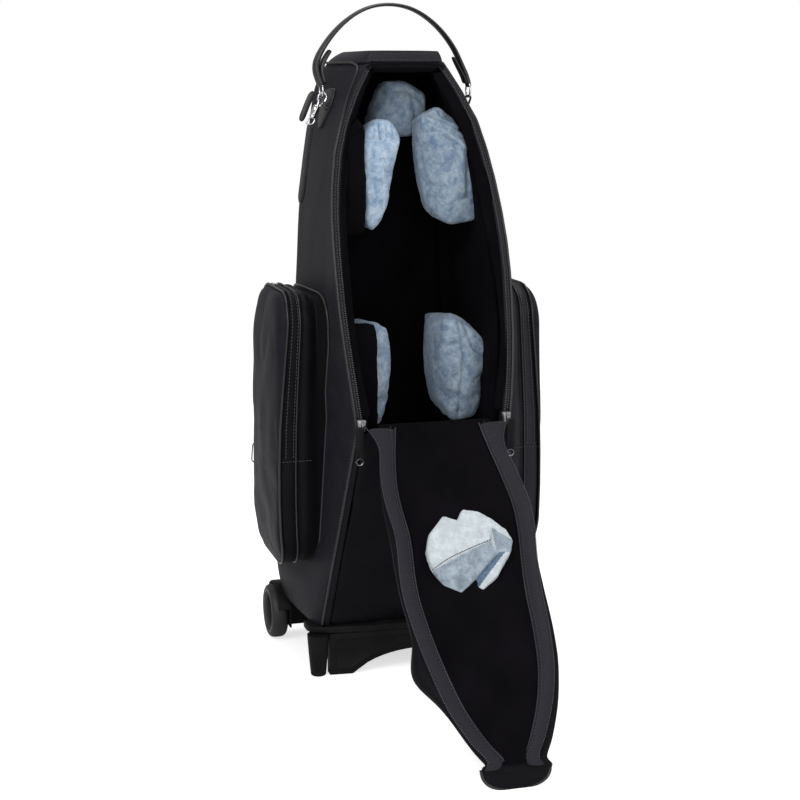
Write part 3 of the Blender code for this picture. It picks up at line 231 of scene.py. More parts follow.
def tube(line, radius, rounding=2, closed=False):
    """A round cord along a line."""
    data = bpy.data.curves.new("line", "CURVE")
    data.dimensions = "3D"
    data.bevel_depth = radius
    data.bevel_resolution = rounding
    data.use_fill_caps = not closed
    spline = data.splines.new("POLY")
    spline.points.add(len(line) - 1)
    for index, place in enumerate(line):
        spline.points[index].co = (*place, 1)
    spline.use_cyclic_u = closed
    holder = bpy.data.objects.new("line", data)
    mesh = bpy.data.meshes.new_from_object(holder)
    made = bmesh.new()
    made.from_mesh(mesh)
    merged(made)
    bpy.data.objects.remove(holder)
    bpy.data.meshes.remove(mesh)
    bpy.data.curves.remove(data)
    return made


def sheet_from(rows):
    """A grid whose rows lie on the given lines of points."""
    made = bmesh.new()
    across = len(rows[0])
    bmesh.ops.create_grid(made, x_segments=across - 1, y_segments=len(rows) - 1, size=1)
    made.verts.ensure_lookup_table()
    for index, vert in enumerate(made.verts):
        vert.co = rows[index // across][index % across]
    return made


def thicken(made, thickness):
    """Gives a sheet its thickness, with its closed faces pointing outwards."""
    bmesh.ops.solidify(made, geom=made.faces, thickness=thickness)
    faced_out(made)
    return made


def rounded(made, width, segments=2, angle=30):
    """Rounds the edges that turn by more than an angle."""
    edges = [e for e in made.edges if len(e.link_faces) == 2 and e.calc_face_angle(0) > math.radians(angle)]
    bmesh.ops.bevel(
        made, geom=edges, offset=width, segments=segments, profile=0.5, affect="EDGES",
        clamp_overlap=True, material=-1)
    return made


def block(made, matrix, size):
    """A block with its centre at the matrix's place."""
    scale = Matrix.Diagonal((*size, 1))
    return bmesh.ops.create_cube(made, size=1, matrix=matrix @ scale)["verts"]


def row_of_blocks(line, up, size, rise=0.0):
    """Small blocks along a line, such as teeth or stitches."""
    made = bmesh.new()
    for matrix in axes_along(line, up):
        block(made, matrix @ Matrix.Translation((0, 0, rise)), size)
    return made


def turned(profile, centre, axis, sides):
    """A closed solid of revolution from its distances along the axis and radii."""
    made = bmesh.new()
    axis = Vector(axis).normalized()
    out = axis.orthogonal().normalized()
    verts = [made.verts.new(axis * along + out * radius) for along, radius in profile]
    edges = [made.edges.new(pair) for pair in zip(verts, verts[1:])]
    bmesh.ops.spin(
        made, geom=verts + edges, cent=(0, 0, 0), axis=axis, angle=2 * math.pi, steps=sides,
        use_merge=True, use_duplicate=False)
    merged(made)
    faced_out(made)
    bmesh.ops.translate(made, vec=centre, verts=made.verts)
    return made


def cad_copy(node):
    """A CAD node's own mesh with the corners at one place joined."""
    made = bmesh.new()
    made.from_mesh(frame["nodes"][node].data)
    merged(made)
    return made


def folds(made, depth, stretch, seed=0.0, keep=None):
    """Moves the vertices in and out in soft folds; stretch is the folds a metre in each direction."""
    made.normal_update()
    moves = []
    for vert in made.verts:
        place = Vector([a * b for a, b in zip(vert.co, stretch)]) + Vector((seed, seed, seed))
        wave = noise.noise(place) + 0.45 * noise.noise(place * 2.3)
        share = keep(vert.co) if keep else 1.0
        moves.append(vert.normal * (wave * depth * share))
    for vert, move in zip(made.verts, moves):
        vert.co += move
    return made


def finished(name, made, finish, stands_for=None, body="bag"):
    """Puts a piece in the scene with its finish and body, and hides the node that it replaces."""
    mesh = made
    if isinstance(made, bmesh.types.BMesh):
        mesh = bpy.data.meshes.new(name)
        made.to_mesh(mesh)
        made.free()
    mesh.name = name
    mesh.materials.clear()
    mesh.materials.append(FINISH[finish])
    mesh.shade_smooth()
    piece = bpy.data.objects.new(name, mesh)
    bpy.context.scene.collection.objects.link(piece)
    if body:
        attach(piece, body)
    if stands_for:
        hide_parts(stands_for)
    return piece


def paint_shade(piece, inside):
    """Paints shade: the nylon darkened as painted shade, on the faces whose middle is inside a region."""
    piece.data.materials.append(FINISH["groove"])
    for face in piece.data.polygons:
        if inside(face.center):
            face.material_index = len(piece.data.materials) - 1


def sharp(piece, angle=35):
    """Keeps the edges of a hard piece crisp in its smooth shading."""
    piece.data.set_sharp_from_angle(angle=math.radians(angle))
    return piece


def applied(made, *modifiers):
    """The mesh after modifiers given as (type, {setting: value})."""
    mesh = bpy.data.meshes.new("work")
    made.to_mesh(mesh)
    made.free()
    holder = bpy.data.objects.new("work", mesh)
    bpy.context.scene.collection.objects.link(holder)
    for kind, settings in modifiers:
        modifier = holder.modifiers.new(kind, kind)
        for key, value in settings.items():
            setattr(modifier, key, value)
    graph = bpy.context.evaluated_depsgraph_get()
    result = bmesh.new()
    out = bpy.data.meshes.new_from_object(holder.evaluated_get(graph))
    result.from_mesh(out)
    bpy.data.objects.remove(holder)
    bpy.data.meshes.remove(mesh)
    bpy.data.meshes.remove(out)
    return result


def smoothed(made, levels=1):
    """Catmull-Clark subdivision."""
    return applied(made, ("SUBSURF", {"levels": levels, "render_levels": levels}))


def subdivided(made, levels, crease_angle, crease):
    """Catmull-Clark subdivision that keeps a panel's rims."""
    layer = made.edges.layers.float.get("crease_edge") or made.edges.layers.float.new("crease_edge")
    for edge in made.edges:
        if edge.is_boundary or edge.calc_face_angle(0) > math.radians(crease_angle):
            edge[layer] = crease
    return smoothed(made, levels)


def remeshed(made, cell, passes):
    """An even soft skin over a solid."""
    return applied(
        made, ("REMESH", {"mode": "VOXEL", "voxel_size": cell}),
        ("SMOOTH", {"factor": 0.5, "iterations": passes}))


def surface(name, tint, roughness, metallic=0.0, **sockets):
    """A Principled material with constant sockets."""
    made = bpy.data.materials.new(name)
    made.use_nodes = True
    shader = made.node_tree.nodes["Principled BSDF"]
    shader.inputs["Base Color"].default_value = (*tint, 1)
    shader.inputs["Roughness"].default_value = roughness
    shader.inputs["Metallic"].default_value = metallic
    for socket, value in sockets.items():
        shader.inputs[socket.replace("_", " ")].default_value = value
    return made


def pattern(made, kind, scale, stretch=(1, 1, 1), **settings):
    """A texture node on the piece's own Object coordinates."""
    nodes = made.node_tree.nodes
    links = made.node_tree.links
    place = nodes.new("ShaderNodeTexCoord")
    mapping = nodes.new("ShaderNodeMapping")
    mapping.inputs["Scale"].default_value = stretch
    texture = nodes.new(kind)
    links.new(place.outputs["Object"], mapping.inputs["Vector"])
    links.new(mapping.outputs["Vector"], texture.inputs["Vector"])
    texture.inputs["Scale"].default_value = scale
    for key, value in settings.items():
        if key in texture.inputs:
            texture.inputs[key].default_value = value
        else:
            setattr(texture, key, value)
    return texture


def grained(made, texture, output, strength, distance):
    """Adds a texture to the material's surface relief."""
    nodes = made.node_tree.nodes
    links = made.node_tree.links
    shader = nodes["Principled BSDF"]
    bump = nodes.new("ShaderNodeBump")
    bump.inputs["Strength"].default_value = strength
    bump.inputs["Distance"].default_value = distance
    before = shader.inputs["Normal"].links
    if before:
        links.new(before[0].from_socket, bump.inputs["Normal"])
    links.new(texture.outputs[output], bump.inputs["Height"])
    links.new(bump.outputs["Normal"], shader.inputs["Normal"])
    return made


def mottled(made, texture, stops):
    """Paints the base colour through a ramp of (place, colour) stops."""
    nodes = made.node_tree.nodes
    links = made.node_tree.links
    ramp = nodes.new("ShaderNodeValToRGB")
    points = ramp.color_ramp.elements
    while len(points) < len(stops):
        points.new(0.5)
    for point, (place, value) in zip(points, stops):
        point.position = place
        point.color = (*value, 1)
    links.new(texture.outputs["Fac"], ramp.inputs["Fac"])
    links.new(ramp.outputs["Color"], nodes["Principled BSDF"].inputs["Base Color"])
    return made


def scaled(tint, share):
    """A lighter or darker tint."""
    return tuple(min(c * share, 1.0) for c in tint)


def woven(name, tint, roughness=0.52):
    """Nylon: fine horizontal and upright threads, and a slow change in shade."""
    made = surface(name, tint, roughness, Sheen_Weight=0.03, Sheen_Roughness=0.4, Specular_IOR_Level=0.22)
    shade = pattern(made, "ShaderNodeTexNoise", 26, Detail=4.0, Roughness=0.6)
    mottled(made, shade, ((0.3, scaled(tint, 0.80)), (0.7, scaled(tint, 1.25))))
    weft = pattern(made, "ShaderNodeTexWave", THREADS, bands_direction="Z", Distortion=0.4)
    grained(made, weft, "Fac", 0.35, 0.0003)
    warp = pattern(made, "ShaderNodeTexWave", THREADS * 1.6, bands_direction="DIAGONAL", Distortion=0.3)
    grained(made, warp, "Fac", 0.175, 0.0002)
    return made


def dulled(made, shine=0.12):
    """The same material with little shine, for places that lie in shade."""
    made.node_tree.nodes["Principled BSDF"].inputs["Specular IOR Level"].default_value = shine
    return made


def ribbed(name, tint):
    """Woven tape with fine ribs."""
    made = surface(name, tint, 0.60, Specular_IOR_Level=0.20)
    ribs = pattern(made, "ShaderNodeTexWave", 150, bands_direction="Z", Distortion=0.2)
    grained(made, ribs, "Fac", 0.5, 0.0003)
    return made


def napped(name, tint):
    """Short black plush that catches light at its edges."""
    made = surface(name, tint, 0.95, Sheen_Weight=0.015, Sheen_Roughness=0.35, Specular_IOR_Level=0.05)
    made.node_tree.nodes["Principled BSDF"].inputs["Sheen Tint"].default_value = (0.36, 0.30, 0.38, 1)
    brushed = pattern(made, "ShaderNodeTexNoise", 16, stretch=(1, 1, 0.5), Detail=3.0)
    mottled(made, brushed, ((0.35, scaled(tint, 0.7)), (0.75, scaled(tint, 1.6))))
    nap = pattern(made, "ShaderNodeTexNoise", 900, Detail=2.0)
    grained(made, nap, "Fac", 0.5, 0.0006)
    return made


def crushed(name, shade, light):
    """Crushed velvet: small patches where the pile lies each way."""
    made = surface(name, light, 0.85, Sheen_Weight=0.25, Sheen_Roughness=0.35, Specular_IOR_Level=0.3)
    made.node_tree.nodes["Principled BSDF"].inputs["Sheen Tint"].default_value = (0.80, 0.88, 1.0, 1)
    patches = pattern(made, "ShaderNodeTexNoise", 78, Detail=10.0, Roughness=0.76, Distortion=0.35)
    middle = tuple((a + b) / 2 for a, b in zip(shade, light))
    mottled(made, patches, ((0.38, shade), (0.50, middle), (0.62, light)))
    pile = pattern(made, "ShaderNodeTexNoise", 420, Detail=5.0, Distortion=0.3)
    grained(made, pile, "Fac", 0.5, 0.0008)
    crinkle = pattern(made, "ShaderNodeTexNoise", 95, Detail=6.0, Roughness=0.65, Distortion=0.6)
    grained(made, crinkle, "Fac", 0.6, 0.0030)
    return made


def pebbled(name, tint, roughness, scale, strength, **sockets):
    """Leather or moulded grain."""
    made = surface(name, tint, roughness, **sockets)
    cells = pattern(made, "ShaderNodeTexVoronoi", scale)
    grained(made, cells, "Distance", strength, 0.0004)
    patches = pattern(made, "ShaderNodeTexNoise", 40, Detail=4.0)
    mottled(made, patches, ((0.3, scaled(tint, 0.85)), (0.7, scaled(tint, 1.2))))
    return made


def bare_metal(name, tint, roughness, stretch=(1, 1, 1)):
    """Metal with fine brushing."""
    made = surface(name, tint, roughness, 1.0)
    brushed = pattern(made, "ShaderNodeTexNoise", 300, stretch=stretch, Detail=3.0)
    grained(made, brushed, "Fac", 0.08, 0.0002)
    return made


def make_finishes(colours):
    """Every finish by the key that the pieces name it with."""
    return {"nylon": woven("nylon_shell", colours.nylon),
            # Nylon at about a third of its tone, with little shine: a darker tone on the lower front and the
            # lid's back and end, and painted shade on the left pocket's gusset.
            "darker_nylon_and_painted_shade": dulled(woven("nylon_darker_and_painted_shade", scaled(colours.nylon, 0.32)), 0.08),
            # Nylon at four fifths of its tone, with little shine: painted shade on the side walls and pocket
            # faces.
            "side_nylon_painted_shade": dulled(woven("side_nylon_painted_shade", scaled(colours.nylon, 0.80)), 0.08),
            # Nylon at a fifth of its tone, nearly without shine: painted shade in folds and under the top's
            # front edge.
            "groove": dulled(woven("nylon_painted_shade", scaled(colours.nylon, 0.20), 0.85)),
            "band": ribbed("zipper_band", scaled(colours.nylon, 1.0)),
            "tape": ribbed("woven_tape", colours.tape), "plush": napped("black_plush", colours.plush),
            # A lighter and a darker copy of one crushed velvet: painted light on the left neck cushion,
            # painted shade on the other cushions.
            "velvet": crushed("crushed_velvet_painted_light", scaled(colours.velvet_shade, 1.5),
                              scaled(colours.velvet_light, 1.15)), "velvet_painted_shade": crushed("velvet_painted_shade",
            colours.velvet_shade, scaled(colours.velvet_light, 0.80)),
            "pale_velvet": crushed("pale_velvet", scaled(colours.pale_velvet, 0.72), colours.pale_velvet),
            # Painted shade on the down-facing facets of the lid's cushion, and deeper painted shade in its
            # fold.
            "saddle_painted_shade": crushed("pale_velvet_painted_shade", scaled(colours.velvet_light, 0.42),
                                   scaled(colours.velvet_light, 0.86)),
            "saddle_painted_fold_shade": crushed("pale_velvet_painted_fold_shade", scaled(colours.velvet_shade, 0.5),
                                   scaled(colours.velvet_shade, 1.1)),
            "leather": pebbled("stitched_leather", colours.leather, 0.40, 900, 0.25, Coat_Weight=0.15,
                               Coat_Roughness=0.3), "plastic": dulled(pebbled("moulded_plastic",
                colours.plastic, 0.46, 700, 0.10), 0.08), "rubber": pebbled("tyre_rubber", colours.rubber,
            0.55, 500, 0.12), "piping": surface("vinyl_piping", scaled(colours.leather, 0.9), 0.34),
            "thread": surface("stitch_thread", colours.thread, 0.6),
            "teeth": surface("zipper_teeth", colours.teeth, 0.30, 0.6),
            "chrome": bare_metal("polished_chrome", colours.chrome, 0.12),
            "gunmetal": bare_metal("gunmetal_slider", colours.gunmetal, 0.28),
            "aluminium": bare_metal("dark_aluminium", colours.aluminium, 0.30, (1, 1, 0.05)),
            "floor": surface("pale_floor", colours.floor, 0.9),}


FINISH = {}


def corner_pick(side, weight):
    """Prefers the corner on one side: the foremost one for a weight below 0, else the rearmost."""
    return lambda co: side * co.x + weight * co.y


FRONT = {side: corner_points("side_panel_" + word, corner_pick(side, -20)) for word, side in SIDES}
REAR = {side: corner_points("back_panel", corner_pick(side, 20)) for word, side in SIDES}


def shoulder(z):
    """How far the side walls draw in near the top, at their rear corners."""
    share = clamped((z - SHOULDER_FOOT) / SHOULDER_TALL)
    return SHOULDER_DRAW * share * share


def wall_point(side, z, y, inset=0.0):
    """A point of the side wall's outer face, an inset inwards."""
    front = at_height(FRONT[side], z)
    rear = at_height(REAR[side], z)
    corner = rear + Vector((side * BACK_RADIUS, -BACK_RADIUS, 0))
    share = clamped((y - front.y) / (corner.y - front.y))
    across = front.x + (corner.x - front.x) * share - side * (inset + shoulder(z) * share ** 1.5)
    return Vector((across, y, z))


def lid_rim():
    """Points down the right edge of the lid's inner face, from its fold to its tip."""
    pairs = {}
    for vert in frame["nodes"]["lid_shell"].data.vertices:
        if vert.co.x > END_FLAP_HALF + 0.0002:
            pairs.setdefault(round(vert.co.x, 4), []).append(vert.co.copy())
    rim = [max(group, key=lambda co: co.z - co.y) for group in pairs.values()]
    return sorted(rim, key=lambda co: -co.y)


def extended(points):
    """The rim carried on over the lid's end, up to a little before its tip."""
    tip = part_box("lid_shell")[0]
    last = points[-1]
    for share, half in ((0.30, 0.0500), (0.62, 0.0480)):
        points = points + [Vector((half, last.y + (tip.y - last.y) * share,
                                   last.z + (tip.z + 0.010 - last.z) * share))]
    return points


END_FLAP_HALF = 0.040
LID_RIM = smooth_line(extended(lid_rim()), 0.006)


def lid_place(index, x, lift):
    """A point over the lid's inner face; the index counts the stations from the fold."""
    index = min(max(index, 0), len(LID_RIM) - 1)
    low = LID_RIM[max(index - 1, 0)]
    high = LID_RIM[min(index + 1, len(LID_RIM) - 1)]
    along = Vector((0, high.y - low.y, high.z - low.z)).normalized()
    return Vector((x, LID_RIM[index].y + along.z * lift, LID_RIM[index].z - along.y * lift))


def curl(index):
    """How far the lid's right border is drawn in at a station, as a share."""
    share = index / (len(LID_RIM) - 1)
    rise = clamped((share - 0.22) / 0.34)
    late = clamped((share - 0.70) / 0.25)
    return rise * rise * (3 - 2 * rise) * (1 + 0.12 * late)


def tuck(index):
    """How far the lid's left border is drawn in near the fold, as a share."""
    share = index / (len(LID_RIM) - 1)
    return math.exp(-((share - 0.33) / 0.12) ** 2)


def drawn(half, s, right, left):
    """A place across the lid from -1 to 1, with each border drawn in."""
    return half * s - right * max(s, 0) + left * max(-s, 0)


HINGE = JOINTS["lid_hinge"]
SHUT_TURN = Matrix.Rotation(math.radians(LID_SHUT), 3, Vector((-1, 0, 0)))
SHUT_Z = [HINGE.z + (SHUT_TURN @ (co - HINGE)).z for co in LID_RIM]


def shut_edge(side, z):
    """Half the shut lid's width on one side, at a height."""
    near = 0
    while near < len(SHUT_Z) - 2 and SHUT_Z[near + 1] < z:
        near += 1
    far = near + 1
    share = clamped((z - SHUT_Z[near]) / (SHUT_Z[far] - SHUT_Z[near]))
    widths = [LID_RIM[i].x - (curl(i) * LID_CURL if side > 0 else tuck(i) * LID_TUCK) for i in (near, far)]
    return widths[0] + (widths[1] - widths[0]) * share


def loft(loops):
    """A closed body through rings of points."""
    made = sheet_from([list(loop) + [loop[0]] for loop in loops])
    merged(made)
    bmesh.ops.holes_fill(made, edges=[e for e in made.edges if e.is_boundary], sides=0)
    faced_out(made)
    return made


def heights(low, high, step):
    """Even heights, about a step apart."""
    count = max(1, round((high - low) / step))
    return [low + (high - low) * i / count for i in range(count + 1)]


OVERHANG = ((0.060, 0.026), (0.072, 0.027), (0.085, 0.025), (0.105, 0.021), (0.130, 0.015), (0.155, 0.008),
            (0.190, 0.0))


def overhang(z):
    """How far the cloth of the side walls bulges out over the wheels at a height."""
    for (low, a), (high, b) in zip(OVERHANG, OVERHANG[1:]):
        if low <= z <= high:
            return a + (b - a) * (z - low) / (high - low)
    return 0.0


def wall_ring(side, z, inset, thick, front_gap, count, bulge=0.0):
    """One level of a side wall, out along its outer face and back along its inner one."""
    front = at_height(FRONT[side], z)
    rear = at_height(REAR[side], z)
    corner_y = rear.y - BACK_RADIUS
    start = front.y + front_gap
    outer = []
    inner = []
    for row, depth in ((outer, inset), (inner, inset + thick)):
        for i in range(count):
            place = wall_point(side, z, start + (corner_y - start) * i / count, depth)
            place.x += side * overhang(z) * bulge * (i / count) ** 0.5
            row.append(place)
        for i in range(6):
            turn = math.pi / 2 * i / 5
            reach = BACK_RADIUS - depth
            bow = reach + overhang(z) * bulge - shoulder(z)
            place = Vector((rear.x + side * bow * math.cos(turn), corner_y + reach * math.sin(turn), z))
            row.append(place)
    return outer + inner[::-1]


def flat_ring(z, y, thick, half):
    """One level of a flat panel across the bag, its outer face at Y and the inner one before or behind it."""
    across = [-half + 2 * half * i / FLAT_PARTS for i in range(FLAT_PARTS + 1)]
    outer = [Vector((x, y, z)) for x in across]
    inner = [Vector((x, y + thick, z)) for x in across[::-1]]
    return outer + inner


def stitches(name, line, up, body, trim, rise=0.0003, size=(0.0030, 0.0009, 0.0008)):
    """A dotted line of thread on a cloth."""
    dots = row_of_blocks(even_line(line, trim.stitch), up, size, rise)
    return finished(name, dots, "thread", body=body)


def teeth(name, line, up, body, trim, rise=0.0006, size=(0.0016, 0.0034, 0.0022), finish="teeth"):
    """One row of zipper teeth."""
    row = row_of_blocks(even_line(line, trim.tooth_pitch), up, size, rise)
    rounded(row, 0.0004, 1)
    return finished(name, row, finish, body=body)


class ShellPanels(bpy.types.Operator):
    """Side, back, front and top panels of foam-cored nylon"""

    bl_idname = "bag.shell_panels"
    bl_label = "Shell panels"

    def execute(self, context):
        trim = context.scene.bag_trim
        low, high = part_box("side_panel_left")
        levels = heights(low.z, high.z, 0.012)
        for word, side in SIDES:
            made = loft([wall_ring(side, z, 0.0, 0.010, 0.0005, 14, 1.0) for z in levels])
            made = folds(subdivided(made, 1, 60, 0.85), trim.fold, (9, 9, 5), side)
            # The side walls take the nylon with painted shade.
            finished("shell_side_" + word, made, "side_nylon_painted_shade", "side_panel_" + word)
        low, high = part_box("back_panel")
        rings = [flat_ring(z, high.y, low.y - high.y, at_height(REAR[1], z).x - 0.0004) for z in levels]
        made = folds(subdivided(loft(rings), 1, 60, 0.3), trim.fold * 0.5, (9, 9, 6))
        finished("shell_back", made, "nylon", "back_panel")
        low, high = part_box("front_lower_panel")
        rings = []
        for z in heights(low.z, high.z, 0.009):
            front = at_height(FRONT[1], z)
            rings.append(flat_ring(z, front.y + 0.001, 0.008, front.x - 0.0112))
        made = folds(subdivided(loft(rings), 2, 60, 0.3), trim.fold * 1.6, (9, 9, 22), 4.0)
        finished("shell_lower_front", made, "darker_nylon_and_painted_shade", "front_lower_panel")
        self.crown(trim)
        return {"FINISHED"}

    def crown(self, trim):
        """The padded top, whose front face is the strip above the opening."""
        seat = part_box("side_panel_left")[1].z
        front = at_height(FRONT[1], seat)
        rear = at_height(REAR[1], seat)
        corner = rear.y - BACK_RADIUS
        half = [(wall_point(1, seat, front.y + (corner - front.y) * s).x, front.y + (corner - front.y) * s)
                for s in (0.0, 0.06, 0.2, 0.4, 0.6, 0.8, 1.0)]
        half += [(rear.x + (BACK_RADIUS - shoulder(seat)) * math.cos(a), corner + BACK_RADIUS * math.sin(a))
                 for a in (0.3, 0.6, 0.9, 1.2, math.pi / 2)]
        foot = half + [(-x, y) for x, y in half[::-1]]
        rings = []
        for rise, inset in ((-0.0085, 0.0), (-0.0070, 0.0), (-0.0010, 0.0), (0.0030, 0.12), (0.0070, 0.32),
                            (0.0105, 0.54), (0.0130, 0.74), (0.0145, 0.90), (0.0150, 1.0)):
            ring = []
            for x, y in foot:
                share = (y - front.y) / (rear.y - front.y)
                bulge = 0.0004 + 0.0012 * math.sin(math.pi * min(max(rise, 0.0) / 0.015, 1.0)) * (1 - share)
                ring.append(Vector((x * (1 - (0.13 + 0.21 * share) * inset),
                                    y - 0.010 * share * inset - bulge, seat + rise)))
            rings.append(ring)
        made = folds(subdivided(loft(rings), 2, 60, 0.2), trim.fold * 0.5, (14, 14, 14), 2.0)
        piece = finished("shell_top", made, "nylon", "top_panel")
        # Painted shade on the strip under the top's front edge.
        paint_shade(piece, lambda co: co.z < seat + 0.0004 and co.y < front.y + 0.02)
        for number, rise, wide in ((1, 0.0108, 0.042), (2, 0.0030, 0.048)):
            run = [Vector((wide * (i / 12 - 1), front.y - 0.0012, seat + rise)) for i in range(25)]
            stitches("stitches_crown_" + str(number), run, (0, -1, 0), "bag", trim, 0.0002, FINE_STITCH)


class Linings(bpy.types.Operator):
    """Black plush inside the bag"""

    bl_idname = "bag.linings"
    bl_label = "Linings"

    def execute(self, context):
        trim = context.scene.bag_trim
        low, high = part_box("side_lining_left")
        levels = heights(low.z, high.z, 0.014)
        for word, side in SIDES:
            made = loft([wall_ring(side, z, 0.0106, 0.014, 0.0135, 12) for z in levels])
            made = folds(subdivided(made, 1, 60, 0.2), trim.fold * 0.8, (14, 14, 8), 7.0 + side)
            piece = finished("plush_side_" + word, made, "plush", "side_lining_" + word)
            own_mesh(piece)
        low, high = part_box("back_lining")
        rings = [flat_ring(z, high.y, low.y - high.y, at_height(REAR[1], z).x) for z in levels]
        made = folds(subdivided(loft(rings), 1, 60, 0.2), trim.fold * 0.8, (14, 14, 8), 9.0)
        finished("plush_back", made, "plush", "back_lining")
        self.head(trim, high.z)
        frame["nodes"]["bottom_board"].data.materials.clear()
        frame["nodes"]["bottom_board"].data.materials.append(FINISH["plush"])
        return {"FINISHED"}

    def head(self, trim, top):
        """The lining under the padded top, which shows as a dark band below the strip."""
        front = at_height(FRONT[1], top)
        rings = []
        for share in (0.0, 0.02, 0.06, 0.15, 0.35, 0.6, 0.8, 0.98):
            y = front.y + 0.0004 + (0.290 - front.y) * share
            wide = front.x - 0.0110 + 0.030 * min(share * 1.6, 1.0)
            droop = 0.0135 if share > 0.01 else 0.0118
            rings.append([Vector((wide * a, y, top + 0.0015 - b * droop)) for a, b in (
                (-1, 0), (-0.5, 0), (0, 0), (0.5, 0), (1, 0), (1.08, 0.6), (1.06, 1), (0.5, 1.08), (0, 1.1),
                (-0.5, 1.08), (-1.06, 1), (-1.08, 0.6))])
        made = folds(subdivided(loft(rings), 1, 70, 0.1), trim.fold * 0.5, (20, 14, 20), 3.0)
        finished("plush_head", made, "plush")


class Piping(bpy.types.Operator):
    """Vinyl piping in the seams of the shell"""

    bl_idname = "bag.piping"
    bl_label = "Piping"

    def execute(self, context):
        trim = context.scene.bag_trim
        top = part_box("side_panel_left")[1].z
        for word, side in SIDES:
            seam = [p + Vector((side * 0.0004, -0.0006, 0))
                    for p in line_between(FRONT[side], FRONT[side][0].z, top - 0.075)]
            rear = at_height(REAR[side], top)
            arc = [wall_point(side, top - drop, at_height(FRONT[side], top - drop).y + back, -0.0004)
                   for drop, back in ((0.058, 0.0045), (0.040, 0.0080), (0.018, 0.0110), (0.0070, 0.0160),
                                      (0.0025, 0.0270))]
            line = seam + arc + [wall_point(side, top - 0.0005, top_y, -0.0006)
                                 for top_y in (arc[-1].y + 0.012, (arc[-1].y + rear.y - BACK_RADIUS) / 2,
                    rear.y - BACK_RADIUS)]
            line += [Vector((rear.x + side * (BACK_RADIUS - shoulder(top)) * 0.7071,
                             rear.y - BACK_RADIUS * 0.2929, top - 0.0005)),
                     Vector((rear.x, rear.y + 0.0004, top - 0.003))]
            cord = tube(smooth_line(line, 0.004), trim.piping * 0.8)
            finished("piping_front_" + word, cord, "piping")
            line = [p + Vector((0, 0.0006, 0)) for p in REAR[side]]
            cord = tube(smooth_line(line, 0.008), trim.piping * 0.8)
            finished("piping_rear_" + word, cord, "piping")
            edge = [wall_point(side, p.z, p.y + 0.0042, -0.0004)
                    for p in line_between(FRONT[side], 0.09, 0.74)]
            stitches("stitches_front_" + word, smooth_line(edge, 0.004), (side, 0, 0), "bag", trim, 0.0002,
                     (0.0020, 0.0006, 0.0006))
        return {"FINISHED"}


TAPE_BENDS = (((0.0525, 0.0030, -0.0020), (0.0470, 0.0036, 0.0008)),
              ((0.0490, 0.0034, -0.0046), (0.0460, 0.0038, -0.0016)))


class OpeningZipper(bpy.types.Operator):
    """The body's half of the main zipper: tape, teeth and stitches"""

    bl_idname = "bag.opening_zipper"
    bl_label = "Opening zipper"

    def execute(self, context):
        trim = context.scene.bag_trim
        low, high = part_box("opening_zipper_tape")
        top = high.z - 0.0005
        edges = {}
        for word, side in SIDES:
            rise = heights(low.z, high.z - 0.012, 0.010)
            outer = [at_height(FRONT[side], z) + Vector((-side * 0.0008, -0.0008, 0)) for z in rise]
            inner = [p + Vector((-side * 0.0062, 0.0004, 0)) for p in outer]
            edges[side] = (outer, inner)
        reach = edges[1][0][-1]
        runs = []
        for number, bends in enumerate(TAPE_BENDS):
            over = [Vector((side * x, reach.y + y, top + z))
                    for side, turns in ((-1, bends), (1, bends[::-1])) for x, y, z in turns]
            runs.append(edges[-1][number] + over + edges[1][number][::-1])
        rows = []
        for a, b in zip(*runs):
            crown = (a + b) / 2 + Vector((0, -0.0012, 0))
            back = Vector((0, 0.0014, 0))
            rows.append([a, a.lerp(crown, 0.5) + Vector((0, -0.0004, 0)), crown, b, b + back, crown + back,
                         a + back])
        tape = smoothed(loft(rows))
        tape = finished("opening_tape", tape, "tape", "opening_zipper_tape")
        # Painted shade on the tape's run over the top of the opening.
        paint_shade(tape, lambda co: co.z > top - 0.0090)
        for word, side in SIDES:
            run = smooth_line(edges[side][1], trim.tooth_pitch)
            teeth("teeth_" + word, run, (0, -1, 0), "bag", trim, 0.0006, (0.0015, 0.0022, 0.0018))
            line = smooth_line([p + Vector((side * 0.0032, -0.0011, 0)) for p in edges[side][1]], 0.004)
            stitches("stitches_tape_" + word, line, (0, -1, 0), "bag", trim, 0.0002, FINE_STITCH)
            self.facing(word, side, edges[side][1])
        return {"FINISHED"}

    def facing(self, word, side, edge):
        """The lining's rolled edge, which fills the gap beside the shut lid."""
        rings = []
        for place in edge:
            wide = abs(place.x) - shut_edge(side, place.z) - 0.0016
            if wide < 0.002:
                break
            start = abs(place.x) + 0.0012
            ring = [(start, 0.0008), (start - wide * 0.4, 0.0016), (start - wide * 0.8, 0.0036),
                    (start - wide, 0.0056), (start - wide * 0.8, 0.0064), (start - wide * 0.4, 0.0046),
                    (start, 0.0036)]
            rings.append([Vector((side * x, place.y + back, place.z)) for x, back in ring])
        made = smoothed(loft(rings))
        finished("lining_edge_" + word, made, "plush")


SHELL_EDGE = (-1, -0.8, -0.55, -0.28, 0, 0.28, 0.55, 0.8, 1)
SHELL_UNDER = (0.96, 0.78, 0.55, 0.28, 0, -0.28, -0.55, -0.78, -0.95)
SHELL_THICK = 0.010
PLUSH_EDGE = (-1, -0.93, -0.75, -0.45, 0, 0.45, 0.75, 0.93, 1)
PLUSH_IN, PLUSH_CURL, PLUSH_TUCK = 0.0195, 0.019, 0.012
BAND_WIDE, MID_STATION = 0.0205, 10
TIP_BEND = 0.014


